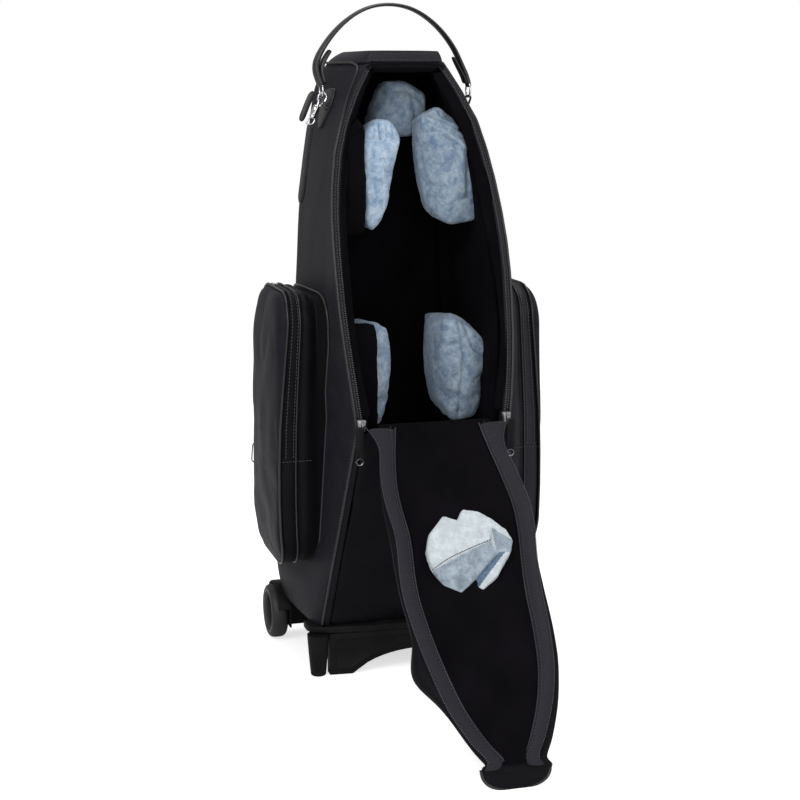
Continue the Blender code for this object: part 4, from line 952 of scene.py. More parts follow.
class Lid(bpy.types.Operator):
    """The lid that folds out: shell, plush, raised zipper bands and end"""

    bl_idname = "bag.lid"
    bl_label = "Lid"

    def execute(self, context):
        trim = context.scene.bag_trim
        count = len(LID_RIM)
        last = count - 3
        shell = []
        for i in range(count):
            half = LID_RIM[i].x
            draw = curl(i) * LID_CURL
            near = tuck(i) * LID_TUCK
            sag = 0.008 * math.exp(-((i / (count - 1) - 0.70) / 0.08) ** 2)
            edge = [lid_place(i, drawn(half, s, draw, near), 0.0) for s in SHELL_EDGE]
            for s in SHELL_UNDER:
                drop = -SHELL_THICK - 0.0015 * (1 - s * s) - sag * max(-s, 0)
                edge.append(lid_place(i, drawn(half, s, draw, near - 3.0 * sag), drop))
            shell.append(edge)
        made = folds(subdivided(loft(shell), 1, 60, 0.2), trim.fold * 0.7, (10, 10, 10), 5.0)
        finished("lid_back", made, "darker_nylon_and_painted_shade", "lid_shell", "lid")
        plush = []
        for i in range(last + 1):
            half = LID_RIM[i].x - PLUSH_IN
            draw = curl(i) * PLUSH_CURL
            near = tuck(i) * PLUSH_TUCK
            puff = 0.0065 if 0 < i < last else 0.004
            top = [lid_place(i, drawn(half, s, draw, near), 0.002 + puff * (1 - abs(s) ** 6))
                   for s in PLUSH_EDGE]
            under = [lid_place(i, drawn(half, s, draw, near), 0.0002) for s in (1, 0.5, 0, -0.5, -1)]
            plush.append(top + under)
        made = folds(subdivided(loft(plush), 1, 60, 0.1), trim.fold * 0.9, (12, 12, 12), 6.0)
        finished("lid_plush", made, "plush", "lid_lining", "lid")
        for word, side in SIDES:
            self.band(word, side, trim, count, last)
        self.tip(count)
        return {"FINISHED"}

    def band(self, word, side, trim, count, last):
        """One zipper band, its teeth, stitches and inner piping."""
        rings = []
        rim = []
        seam = []
        inner = []
        for i in range(count - 1):
            half = LID_RIM[i].x
            share = i / (count - 1)
            raised = math.sin(math.pi * min(share * 1.15, 1.0))
            lift = 0.0035 + (0.0055 if side > 0 else 0.0020) * raised
            draw = curl(i) * 0.0215 if side > 0 else tuck(i) * 0.0090 + 0.0015 * raised
            flare = 0.0200 * max(0.0, 1 - i / 7) ** 2
            rows = ((BAND_WIDE, 0.0034, 0.9), (0.0180, 0.0056, 0.9), (0.0100, 0.0062 + lift * 0.5, 0.95),
                    (0.0015, 0.0040 + lift, 1.0), (0.0000, 0.0026 + lift, 1.0),
                    (0.0025, 0.0010 + lift * 0.6, 1.0), (0.0120, 0.0012, 0.95), (BAND_WIDE, 0.0008, 0.9))
            ring = [lid_place(i, side * (half - back - draw * pull + flare * (1 - back / BAND_WIDE)), up)
                    for back, up, pull in rows]
            rings.append(ring)
            rim.append(ring[3].lerp(ring[4], 0.6))
            seam.append(ring[1].lerp(ring[2], 0.12))
            inner.append(ring[0])
        made = smoothed(loft(rings), 2)
        finished("lid_band_" + word, made, "band", body="lid")
        normal = lid_place(MID_STATION, 0, 1) - lid_place(MID_STATION, 0, 0)
        out = Vector((side, 0, 0)) + normal * 0.8
        teeth("lid_teeth_" + word, smooth_line(rim[:-2], trim.tooth_pitch), out, "lid", trim, 0.0003,
              (0.0014, 0.0016, 0.0014))
        stitches("lid_stitches_" + word, smooth_line(seam[:-2], 0.004), normal, "lid", trim, 0.0003,
                 (0.0020, 0.0005, 0.0005))
        cord = tube(smooth_line([p + normal * 0.0005 for p in inner[:last]], 0.006), 0.0013)
        finished("lid_piping_" + word, cord, "piping", body="lid")

    def tip(self, count):
        """The padded end of the lid, which closes over the strip above the opening."""
        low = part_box("lid_shell")[0]
        start = lid_place(count - 4, 0, 0)
        end = Vector((0, low.y, low.z))
        along = (Vector((0, end.y, end.z)) - start).normalized()
        lift = Vector((0, along.z, -along.y))
        reach = (end - start).dot(along)
        rings = []
        bead = []
        for share, wide, thick in ((0, 0.0480, 0.4), (0.20, 0.0490, 0.8), (0.45, 0.0480, 1),
                                   (0.62, 0.0455, 1), (0.76, 0.0410, 1), (0.87, 0.0340, 0.9),
                                   (0.95, 0.0240, 0.7), (1.0, 0.0130, 0.3)):
            base = start + along * (reach * share) - lift * (0.0036 - 0.0008 * math.sin(math.pi * share))
            ring = []
            for i in range(16):
                x, up = squarish(2 * math.pi * i / 16, wide, 0.0045 * thick, (0.6, 0.8))
                ring.append(base + Vector((x - TIP_BEND * max(x, 0) / wide, 0, 0)) + lift * up)
            rings.append(ring)
            if share > 0.08:
                bead.append((wide, base))
        made = smoothed(loft(rings), 2)
        finished("lid_end", made, "darker_nylon_and_painted_shade", body="lid")
        run = [base + Vector((-wide, 0, 0)) for wide, base in bead]
        run += [base + Vector((wide - TIP_BEND, 0, 0)) for wide, base in bead[::-1]]
        finished("lid_end_piping", tube(smooth_line(run, 0.003), 0.0020), "piping", body="lid")


class FoldStrip(bpy.types.Operator):
    """The cloth hinge between the lower front and the lid"""

    bl_idname = "bag.fold_strip"
    bl_label = "Fold strip"

    def execute(self, context):
        fold = JOINTS["lid_hinge"]
        half = LID_RIM[0].x - 0.001
        rows = []
        path = [
            (0.0125, -0.012), (0.0105, -0.002), (0.0075, 0.0035), (0.003, 0.0062), (-0.002, 0.0064),
            (-0.0062, 0.0050), (-0.010, 0.0025), (-0.0145, -0.0035), (-0.021, -0.0115)]
        for y, z in path:
            rows.append([Vector((half * s, fold.y + y, fold.z + z))
                         for s in (-1, -0.9, -0.6, -0.3, 0, 0.3, 0.6, 0.9, 1)])
        made = smoothed(thicken(sheet_from(rows), 0.0022), 2)
        piece = finished("fold_strip", made, "plush", "lid_hinge_cord", body=None)
        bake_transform(piece)
        return {"FINISHED"}


PAD_BASE = Vector((0, -0.0923, 0.2387))
PAD_ALONG = Vector((0, -0.7355, -0.6776))
PAD_UP = Vector((0, -0.6776, 0.7355))
NECK_LEFT = ((-0.042, 0.739), (-0.055, 0.722), (-0.059, 0.700), (-0.0575, 0.651), (-0.055, 0.604),
             (-0.048, 0.599), (-0.039, 0.603), (-0.032, 0.620), (-0.026, 0.637), (-0.020, 0.674),
             (-0.0106, 0.711), (-0.0145, 0.724), (-0.024, 0.737))
NECK_RIGHT = ((0.0195, 0.742), (0.034, 0.746), (0.047, 0.755), (0.070, 0.738), (0.088, 0.719),
              (0.0920, 0.705), (0.094, 0.672), (0.0965, 0.609), (0.078, 0.606), (0.060, 0.603),
              (0.048, 0.609), (0.039, 0.614), (0.030, 0.658), (0.024, 0.700))
TOP_PAD = ((-0.008, 0.789), (0.018, 0.790), (0.046, 0.771), (0.047, 0.722), (0.010, 0.716), (-0.030, 0.720),
           (-0.028, 0.738), (-0.018, 0.757), (-0.011, 0.770))
BELL_RIGHT = ((0.040, 0.478), (0.059, 0.476), (0.076, 0.465), (0.092, 0.452), (0.101, 0.438), (0.100, 0.411),
              (0.093, 0.370), (0.082, 0.344), (0.050, 0.340), (0.040, 0.390), (0.038, 0.441))
BELL_LEFT = ((-0.040, 0.470), (-0.056, 0.474), (-0.080, 0.465), (-0.098, 0.438), (-0.098, 0.411),
             (-0.092, 0.370), (-0.082, 0.344), (-0.050, 0.342), (-0.039, 0.372), (-0.036, 0.420))
# The left neck cushion takes the velvet with painted light, the other velvet cushions the velvet with painted
# shade.
PADS = (("neck_cushion_left", "neck_pad_left", NECK_LEFT, 0.1450, 0.208, "velvet",
         ((((-0.058, 0.715), (-0.036, 0.712), (-0.011, 0.714)), 0.0030, 0.0022),
          (((-0.049, 0.731), (-0.046, 0.716)), 0.0045, 0.0020),
          (((-0.040, 0.740), (-0.038, 0.716)), 0.0060, 0.0022),
          (((-0.030, 0.738), (-0.030, 0.717)), 0.0040, 0.0018),
          (((-0.020, 0.731), (-0.022, 0.717)), 0.0030, 0.0016),
          (((-0.056, 0.662), (-0.034, 0.655), (-0.022, 0.662)), 0.0014, 0.0040))),
        ("neck_cushion_right", "neck_pad_right", NECK_RIGHT, 0.1450, 0.208, "velvet_painted_shade",
         ((((0.034, 0.750), (0.066, 0.744), (0.096, 0.722)), 0.0160, 0.0110),
          (((0.017, 0.744), (0.044, 0.733), (0.082, 0.712)), 0.0050, 0.0026),
          (((0.036, 0.745), (0.060, 0.732), (0.089, 0.716)), 0.0055, 0.0022),
          (((0.026, 0.738), (0.050, 0.722), (0.078, 0.704)), -0.0035, 0.0024),
          (((0.050, 0.742), (0.070, 0.730)), -0.0040, 0.0020),
          (((0.047, 0.753), (0.052, 0.741)), 0.0060, 0.0022),
          (((0.030, 0.726), (0.050, 0.716), (0.064, 0.706)), 0.0030, 0.0030),
          (((0.090, 0.716), (0.080, 0.690), (0.083, 0.640)), 0.0030, 0.0030),
          (((0.046, 0.700), (0.052, 0.660), (0.050, 0.622)), 0.0020, 0.0040),
          (((0.060, 0.640), (0.072, 0.632), (0.084, 0.640)), 0.0020, 0.0030))),
        ("top_cushion", "top_pad", TOP_PAD, 0.2160, 0.272, "velvet_painted_shade",
         ((((-0.012, 0.776), (0.018, 0.778), (0.044, 0.760)), 0.0030, 0.0026),
          (((0.024, 0.774), (0.030, 0.750), (0.030, 0.722)), 0.0024, 0.0030),
          (((0.010, 0.744), (0.024, 0.736), (0.042, 0.742)), 0.0020, 0.0034))),
        ("bell_cushion_left", "bell_pad_left", BELL_LEFT, 0.1050, 0.204, "velvet_painted_shade",
         ((((-0.060, 0.470), (-0.056, 0.410), (-0.062, 0.350)), 0.0030, 0.0040),)),
        ("bell_cushion_right", "bell_pad_right", BELL_RIGHT, 0.1050, 0.204, "velvet_painted_shade",
         ((((0.060, 0.474), (0.066, 0.430), (0.060, 0.350)), 0.0040, 0.0035),
          (((0.070, 0.466), (0.078, 0.440), (0.096, 0.426)), 0.0040, 0.0028),
          (((0.040, 0.440), (0.055, 0.446), (0.066, 0.438)), 0.0030, 0.0030),
          (((0.070, 0.410), (0.082, 0.396), (0.094, 0.400)), 0.0026, 0.0030))),
        ("neck_bolster_left", "neck_pad_left", ((-0.066, 0.742), (-0.082, 0.730), (-0.092, 0.700),
            (-0.094, 0.650), (-0.094, 0.592), (-0.062, 0.592), (-0.060, 0.650), (-0.061, 0.710)), 0.1380,
         0.205, "plush", ()), ("bell_bolster_left", "bell_pad_left",
                               ((-0.060, 0.474), (-0.092, 0.470), (-0.101, 0.440), (-0.100, 0.380),
                                (-0.094, 0.330), (-0.056, 0.330), (-0.054, 0.400), (-0.055, 0.450)), 0.0960,
                               0.150, "plush", ()),)
OUTLINES = {name: (outline, front) for name, node, outline, front, back, finish, seams in PADS}
SADDLE = (("saddle_wing_left", {"a": (-0.0232, -0.0165, 0.0170), "b": (-0.0073, -0.0077, 0.0190),
                                "r": (0.0330, 0.0120, 0.0230), "p": (0.0250, 0.0290, 0.0245),
                                "q": (0.0325, 0.0440, 0.0190), "k": (-0.0225, 0.0900, 0.0100),
                                "l": (-0.0405, 0.0790, 0.0090), "m": (-0.0520, 0.0580, 0.0150),
                                "n": (-0.0550, 0.0308, 0.0150), "o": (-0.0449, 0.0061, 0.0150),
                                "c": (-0.0150, 0.0430, 0.0225)}, (("a", "b", "r", "p", "c", "m", "n", "o"),
            ("m", "c", "p", "q", "k", "l"))), ("saddle_wing_right",
        {"b": (-0.0073, -0.0077, 0.0140), "c": (0.0044, -0.0245, 0.0160), "d": (0.0230, -0.0190, 0.0170),
         "x": (0.0400, -0.0060, 0.0170), "e": (0.0533, 0.0089, 0.0160), "f": (0.0575, 0.0265, 0.0150),
         "y": (0.0530, 0.0390, 0.0150), "g": (0.0423, 0.0519, 0.0150), "h": (0.0285, 0.0706, 0.0140),
         "i": (0.0056, 0.0880, 0.0120), "j": (-0.0072, 0.0790, 0.0070), "r": (0.0340, 0.0090, 0.0215),
         "s": (0.0428, 0.0415, 0.0175), "q": (0.0325, 0.0400, 0.0150)},
        (("b", "c", "d", "x", "e", "r"), ("r", "e", "f", "y", "s", "q"), ("q", "s", "i", "j"),
         ("s", "y", "g", "h", "i"), ("b", "r", "q", "j"))),)
SADDLE_SEAM = ((-0.0530, 0.0585, 0.0163), (-0.0340, 0.0490, 0.0215), (-0.0150, 0.0420, 0.0235),
               (0.0050, 0.0350, 0.0245), (0.0240, 0.0292, 0.0252))


def on_lid(x, along, lift):
    """A point over the lid, from the cushion's own base."""
    return PAD_BASE + Vector((x, 0, 0)) + PAD_ALONG * along + PAD_UP * lift


def distance_to(place, a, b):
    """How far a place is from the line between two points."""
    share = clamped((place - a).dot(b - a) / (b - a).length_squared)
    return (place - a.lerp(b, share)).length


def puffed(scene, covers, travel):
    """Blows the covers up a little with the cloth solver, and holds how far they move."""
    starts = []
    for cover in covers:
        starts.append([v.co.copy() for v in cover.data.vertices])
        cloth = cover.modifiers.new("puff", "CLOTH")
        cloth.settings.quality = 4
        cloth.settings.use_pressure = True
        cloth.settings.uniform_pressure_force = 4
        cloth.settings.shrink_min = -0.06
        cloth.settings.bending_stiffness = 0.3
        cloth.settings.effector_weights.gravity = 0
    for number in range(1, 21):
        scene.frame_set(number)
    graph = bpy.context.evaluated_depsgraph_get()
    results = [bpy.data.meshes.new_from_object(c.evaluated_get(graph)) for c in covers]
    for cover, start, result in zip(covers, starts, results):
        cover.modifiers.clear()
        for vert, after, before in zip(cover.data.vertices, result.vertices, start):
            move = after.co - before
            if move.length > travel:
                move = move.normalized() * travel
            vert.co = before + move
        bpy.data.meshes.remove(result)
    scene.frame_set(1)


class Cushions(bpy.types.Operator):
    """Velvet cushions, their covers puffed by a cloth simulation"""

    bl_idname = "bag.cushions"
    bl_label = "Cushions"

    def execute(self, context):
        trim = context.scene.bag_trim
        pads = [(name, node, self.slab(outline, front, back), finish, seams)
                for name, node, outline, front, back, finish, seams in PADS]
        made = cad_copy("bow_pad")
        low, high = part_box("bow_pad")
        for vert in made.verts:
            vert.co = (low + high) / 2 + (vert.co - (low + high) / 2) * 0.95
        pads.append(("bow_cushion", "bow_pad", made, "velvet_painted_shade", ()))
        covers = [finished(name, remeshed(made, trim.pad_cell, 1), finish, body=None)
                  for name, node, made, finish, seams in pads]
        puffed(context.scene, covers, trim.pad_travel)
        for number, (cover, (name, node, made, finish, seams)) in enumerate(zip(covers, pads)):
            work = bmesh.new()
            work.from_mesh(cover.data)
            work = smoothed(work)
            self.drawn_in(work, seams, *OUTLINES.get(name, ((), 0)))
            work = folds(work, 0.0016, (30, 30, 22), number * 3.1)
            work = folds(work, 0.0006, (95, 95, 80), number * 1.7)
            work.to_mesh(cover.data)
            work.free()
            cover.data.shade_smooth()
            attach(cover, "bag")
            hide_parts(node)
            if name.startswith("neck"):
                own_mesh(cover)
        self.saddle()
        return {"FINISHED"}

    def slab(self, outline, front, back):
        """A cushion with a nearly flat front, from its outline in X and Z."""
        line = even_line([Vector((x, 0, z)) for x, z in outline + outline[:1]], 0.007)[:-1]
        middle = sum(line, Vector()) / len(line)
        rings = []
        for y, keep in ((back, 0.86), (back - 0.008, 0.91), ((back + front) / 2, 0.97), (front + 0.012, 1.0),
                        (front + 0.004, 0.985), (front + 0.001, 0.95), (front - 0.001, 0.86),
                        (front - 0.003, 0.60), (front - 0.004, 0.30)):
            rings.append([middle + (p - middle) * keep + Vector((0, y, 0)) for p in line])
        return loft(rings)

    def paint_saddle_shade(self, cover):
        """Gives the facets of the lid's cushion that face down painted shade, and those in its fold deeper
        painted shade, as their own materials.
        """
        cover.data.materials.append(FINISH["saddle_painted_shade"])
        cover.data.materials.append(FINISH["saddle_painted_fold_shade"])
        for face in cover.data.polygons:
            local = face.center - PAD_BASE
            x = local.x
            along = local.dot(PAD_ALONG)
            low, high = 0.0325 - (along - 0.0440) * 1.22, 0.0440 - (along - 0.0415) * 1.02
            if cover.name.endswith("left"):
                if along > 0.0290 + 0.0300 * (0.0250 - x) / 0.0780:
                    face.material_index = 1
            elif x > 0.0325 and (x - 0.034) * 0.72 + 0.0090 < along < 0.0420:
                face.material_index = 1
            elif along > 0.0410 and low < x < high:
                face.material_index = 2

    def drawn_in(self, made, seams, outline, front):
        """Pulls a cover inwards along its seams, given as points in X and Z with a depth and a width."""
        if not seams:
            return
        made.normal_update()
        rim = [Vector((x, 0, z)) for x, z in outline + outline[:1]]
        lines = [([Vector((x, 0, z)) for x, z in points], depth, width) for points, depth, width in seams]
        moves = []
        for vert in made.verts:
            flat = Vector((vert.co.x, 0, vert.co.z))
            inside = min(distance_to(flat, a, b) for a, b in zip(rim, rim[1:]))
            facing = clamped((front + 0.032 - vert.co.y) / 0.020)
            move = 0.0
            for line, depth, width in lines:
                near = min(distance_to(flat, a, b) for a, b in zip(line, line[1:]))
                fade = 1.0 if width > 0.0075 else min(inside / 0.0060, 1.0)
                move += depth * facing * fade * math.exp(-(near / width) ** 2)
            moves.append(move)
        for vert, move in zip(made.verts, moves):
            vert.co.y += move

    def saddle(self):
        """The lid's cushion: two wings that meet at a ridge, each of a few flat facets."""
        for name, top, facets in SADDLE:
            made = bmesh.new()
            verts = {key: made.verts.new(on_lid(x, along, lift)) for key, (x, along, lift) in top.items()}
            faces = [made.faces.new([verts[key] for key in facet]) for facet in facets]
            middle = sum((v.co for v in made.verts), Vector()) / len(made.verts)
            foot = bmesh.ops.extrude_face_region(made, geom=faces, use_keep_orig=True)["geom"]
            for vert in [v for v in foot if isinstance(v, bmesh.types.BMVert)]:
                drop = (vert.co - PAD_BASE).dot(PAD_UP) - 0.006
                spread = (vert.co - middle) * 0.03
                vert.co += spread - PAD_UP * (spread.dot(PAD_UP) + drop)
            merged(made)
            faced_out(made)
            rounded(made, 0.0024, 3, 7)
            bmesh.ops.triangulate(made, faces=[f for f in made.faces if len(f.verts) > 4])
            made = remeshed(made, 0.0014, 3)
            made = folds(folds(made, 0.0009, (38, 38, 38), 4.0), 0.0004, (120, 120, 120), 8.0)
            cover = finished(name, made, "pale_velvet", "lid_saddle_pad", "lid")
            self.paint_saddle_shade(cover)
        seam = [on_lid(x, along, lift) for x, along, lift in SADDLE_SEAM]
        dots = row_of_blocks(smooth_line(seam, 0.0036), PAD_UP, (0.0026, 0.0009, 0.0008), 0.0007)
        finished("saddle_stitches", dots, "piping", body="lid")


POCKET_ROOT = 0.130
POCKET_SEAM = 0.1738
POCKET_FACE = 0.1900
POCKET_EDGE = ((0.130, 0.1755), (0.150, 0.1780), (0.190, 0.1830), (0.240, 0.1842), (0.285, 0.1838),
               (0.337, 0.1820), (0.377, 0.1788), (0.430, 0.1741), (0.470, 0.1702), (0.503, 0.1690),
               (0.517, 0.1680))
GUSSET_RINGS = ((0.112, 0.0050), (0.122, 0.0060), (0.1295, 0.0080), (0.1335, 0.0050), (0.1380, 0.0010),
                (0.1440, -0.0008), (0.1500, 0.0000), (0.1530, 0.0030), (0.1550, 0.0004), (0.1600, -0.0014),
                (0.1660, -0.0012), (0.1710, -0.0002), (0.1728, 0.0012))
FACE_RINGS = ((0.1732, 0.985), (POCKET_SEAM, 1.0), (0.1772, 0.995), (0.1808, 0.970), (0.1838, 0.92),
              (0.1862, 0.82), (0.1880, 0.68), (0.1891, 0.52), (0.1897, 0.34), (0.1900, 0.16))
POCKET_MIDDLE = Vector((0, 0.205, 0.33))
CORNER_START = 0.2625
POCKET_ROUND, POCKET_LIFT = 0.040, 0.0105
BEND_HALF, BLEND_HALF = 0.016, 0.012
FACE_HOLE, FOLD_SHADE_END = 0.1885, 0.19


class Pockets(bpy.types.Operator):
    """Side pockets: gusset, domed face, zipper teeth, piping and stitches"""

    bl_idname = "bag.pockets"
    bl_label = "Pockets"

    def execute(self, context):
        trim = context.scene.bag_trim
        for word, side in SIDES:
            self.pocket(word, side, trim)
        return {"FINISHED"}

    def outline(self, word, inset, count):
        """The pocket's rounded outline in Y and Z, an inset inwards, as an even closed line."""
        low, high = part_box("pocket_" + word)
        radius = POCKET_ROUND - inset
        base = Vector((0, low.y + inset, low.z + POCKET_LIFT + inset))
        peak = Vector((0, high.y - inset, high.z - inset))
        line = []
        for y, z, start in ((peak.y - radius, base.z + radius, -0.5), (peak.y - radius, peak.z - radius, 0.0),
                            (base.y + radius, peak.z - radius, 0.5), (base.y + radius, base.z + radius, 1.0)):
            for i in range(7):
                turn = math.pi * (start + i / 12)
                line.append(Vector((0, y + radius * math.cos(turn), z + radius * math.sin(turn))))
        line.append(line[0])
        around = sum((b - a).length for a, b in zip(line, line[1:]))
        return even_line(line, around / count)[:count]

    def out(self, x, z):
        """Where a depth of the pocket lies at a height: it stands out less at its top and foot."""
        edge = POCKET_EDGE[0][1]
        for (low, a), (high, b) in zip(POCKET_EDGE, POCKET_EDGE[1:]):
            if z >= low:
                edge = a + (b - a) * min((z - low) / (high - low), 1.0)
        if x <= POCKET_ROOT:
            return x
        if x <= POCKET_SEAM:
            return POCKET_ROOT + (x - POCKET_ROOT) * (edge - POCKET_ROOT) / (POCKET_SEAM - POCKET_ROOT)
        return edge + (x - POCKET_SEAM) * (POCKET_FACE - edge) / (POCKET_FACE - POCKET_SEAM)

    def ring(self, word, side, x, inset, count=96):
        """One ring around the pocket at a depth."""
        return [Vector((side * self.out(x, p.z), p.y, p.z)) for p in self.outline(word, inset, count)]

    def pocket(self, word, side, trim):
        """The gusset on the bag and the domed face, cut in rows round the flap's fold line."""
        fold = JOINTS["pocket_flap_" + word + "_fold"]
        rings = [self.ring(word, side, x, inset) for x, inset in GUSSET_RINGS]
        rings[:2] = [[self.flared(p, share) for p in ring] for ring, share in zip(rings, (1.25, 0.7))]
        made = self.sleeve(rings)
        self.skinned(made, side, 0.0016)
        made = folds(smoothed(made, 2), 0.0016, (14, 20, 7), side * 2.0 + 1.0)
        # The left gusset takes the darker nylon as painted shade; the right one keeps the plain nylon.
        piece = finished("pocket_gusset_" + word, made, "darker_nylon_and_painted_shade" if side < 0 else "nylon",
                         "pocket_" + word)
        # Painted shade in the fold between the gusset and the wall.
        paint_shade(piece, lambda co: abs(co.x) < self.groove(co.z) and co.y < FOLD_SHADE_END)
        line = self.outline(word, 0.0, 96)
        middle = sum(line, Vector()) / len(line)
        rings = []
        for x, keep in FACE_RINGS:
            ring = []
            for p in line:
                place = middle + (p - middle) * keep
                ring.append(Vector((side * self.out(x, place.z), place.y, place.z)))
            rings.append(ring)
        made = self.sleeve(rings)
        hole = [e for e in made.edges if e.is_boundary and abs(e.verts[0].co.x) > FACE_HOLE]
        bmesh.ops.holes_fill(made, edges=hole, sides=0)
        for z in heights(fold.z - BEND_HALF, fold.z + BEND_HALF, 0.004):
            geom = made.verts[:] + made.edges[:] + made.faces[:]
            bmesh.ops.bisect_plane(made, geom=geom, dist=TOUCH, plane_co=(0, 0, z), plane_no=(0, 0, 1))
        self.skinned(made, side, 0.0020)
        made = smoothed(made, 2)
        made = folds(folds(made, 0.0050, (8, 10, 7), side * 4.0 + 2.0, self.soft), 0.0022, (12, 14, 30),
                     side * 3.0, self.slack)
        piece = finished("pocket_face_" + word, made, "side_nylon_painted_shade", "pocket_cover_" + word, body=None)
        self.blended(piece, word, fold)
        self.trims(word, side, trim, fold)

    def sleeve(self, rings):
        """A sheet through closed rings, open at both ends."""
        made = sheet_from([ring + ring[:1] for ring in rings])
        merged(made)
        return made

    def groove(self, z):
        """How far out the painted shade in the gusset's fold reaches, at a height."""
        share = clamped((0.48 - z) / 0.30)
        return 0.1285 + 0.020 * share

    def soft(self, place):
        """Folds of the face die out towards its seam."""
        return clamped((abs(place.x) - self.out(POCKET_SEAM, place.z)) / 0.006)

    def slack(self, place):
        """Cross folds lie in the lower half of the face."""
        return self.soft(place) * clamped((0.36 - place.z) / 0.10)

    def skinned(self, made, side, thickness):
        """Turns a sheet outwards and gives it its thickness."""
        faced_out(made)
        inside = Vector((side * 0.10, 0.205, 0.325))
        if sum(f.normal.dot(f.calc_center_median() - inside) * f.calc_area() for f in made.faces) < 0:
            bmesh.ops.reverse_faces(made, faces=made.faces)
        bmesh.ops.solidify(made, geom=made.faces, thickness=thickness)
        faced_out(made)

    def blended(self, piece, word, fold):
        """Bakes the piece's placing into its mesh."""
        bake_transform(piece)

    def flared(self, place, share):
        """Draws the gusset's foot forward along the wall near the pocket's upper front corner."""
        front = clamped((0.205 - place.y) / 0.060)
        rise = clamped((place.z - 0.385) / 0.065)
        return place - Vector((0, (0.017 * rise - 0.004 * (1 - rise)) * front * share, 0))

    def trims(self, word, side, trim, fold):
        """Piping, zipper and stitches of a pocket."""

        def cord(name, run, radius):
            finished(name, tube(run, radius, closed=True), "piping")

        run = self.ring(word, side, POCKET_SEAM + 0.0004, -0.0012, 190)
        piece = finished("pocket_piping_face_" + word, tube(run, trim.piping * 0.85, closed=True), "piping",
                         body=None)
        self.blended(piece, word, fold)
        cord("pocket_piping_middle_" + word, self.ring(word, side, 0.1560, -0.0008, 190), trim.piping * 0.75)
        root = []
        for p in self.outline(word, 0.0010, 190):
            place = self.flared(p, 1.0)
            wall = wall_point(side, place.z, min(place.y, CORNER_START), -0.0008)
            over = max(place.y - CORNER_START, 0.0)
            wall.x -= side * (BACK_RADIUS - math.sqrt(max(BACK_RADIUS ** 2 - over ** 2, 0.0)))
            root.append(Vector((wall.x, place.y, place.z)))
        cord("pocket_piping_root_" + word, root, trim.piping * 0.9)

        def up(p):
            return Vector((0, p.y - POCKET_MIDDLE.y, (p.z - POCKET_MIDDLE.z) * 0.4))

        def zipped(x, inset, start, step):
            ring = self.ring(word, side, x, inset, 380)
            first = min(range(len(ring)), key=lambda i: (ring[i].z - start) ** 2 * 100
                        + (ring[i].y - 0.30) ** 2)
            kept = [p for p in ring[first:] + ring[:first] if p.z >= start]
            return even_line(kept, step)

        for name, x in (("inner", 0.1700), ("outer", 0.1720)):
            teeth("pocket_teeth_" + name + "_" + word, zipped(x, -0.0008, fold.z + 0.014, trim.tooth_pitch),
                  up, "bag", trim, 0.0002, (0.0012, 0.0020, 0.0012), "plastic")
        for name, x in (("a", 0.1675), ("b", 0.1590)):
            stitches("pocket_stitches_" + name + "_" + word, zipped(x, -0.0014, fold.z + 0.014, 0.004), up,
                     "bag", trim, 0.0006)
        seam = []
        for i in range(12):
            x = 0.1730 - 0.033 * i / 11
            seam.append(Vector((side * self.out(x, fold.z + 0.008), 0.1215 - 0.0008, fold.z + 0.008)))
        stitches("pocket_seam_" + word, seam, (0, -1, 0), "bag", trim, 0.0006)


def join(target, other):
    """Puts another body into the same piece."""
    mesh = bpy.data.meshes.new("join")
    other.to_mesh(mesh)
    other.free()
    target.from_mesh(mesh)
    bpy.data.meshes.remove(mesh)
    return target


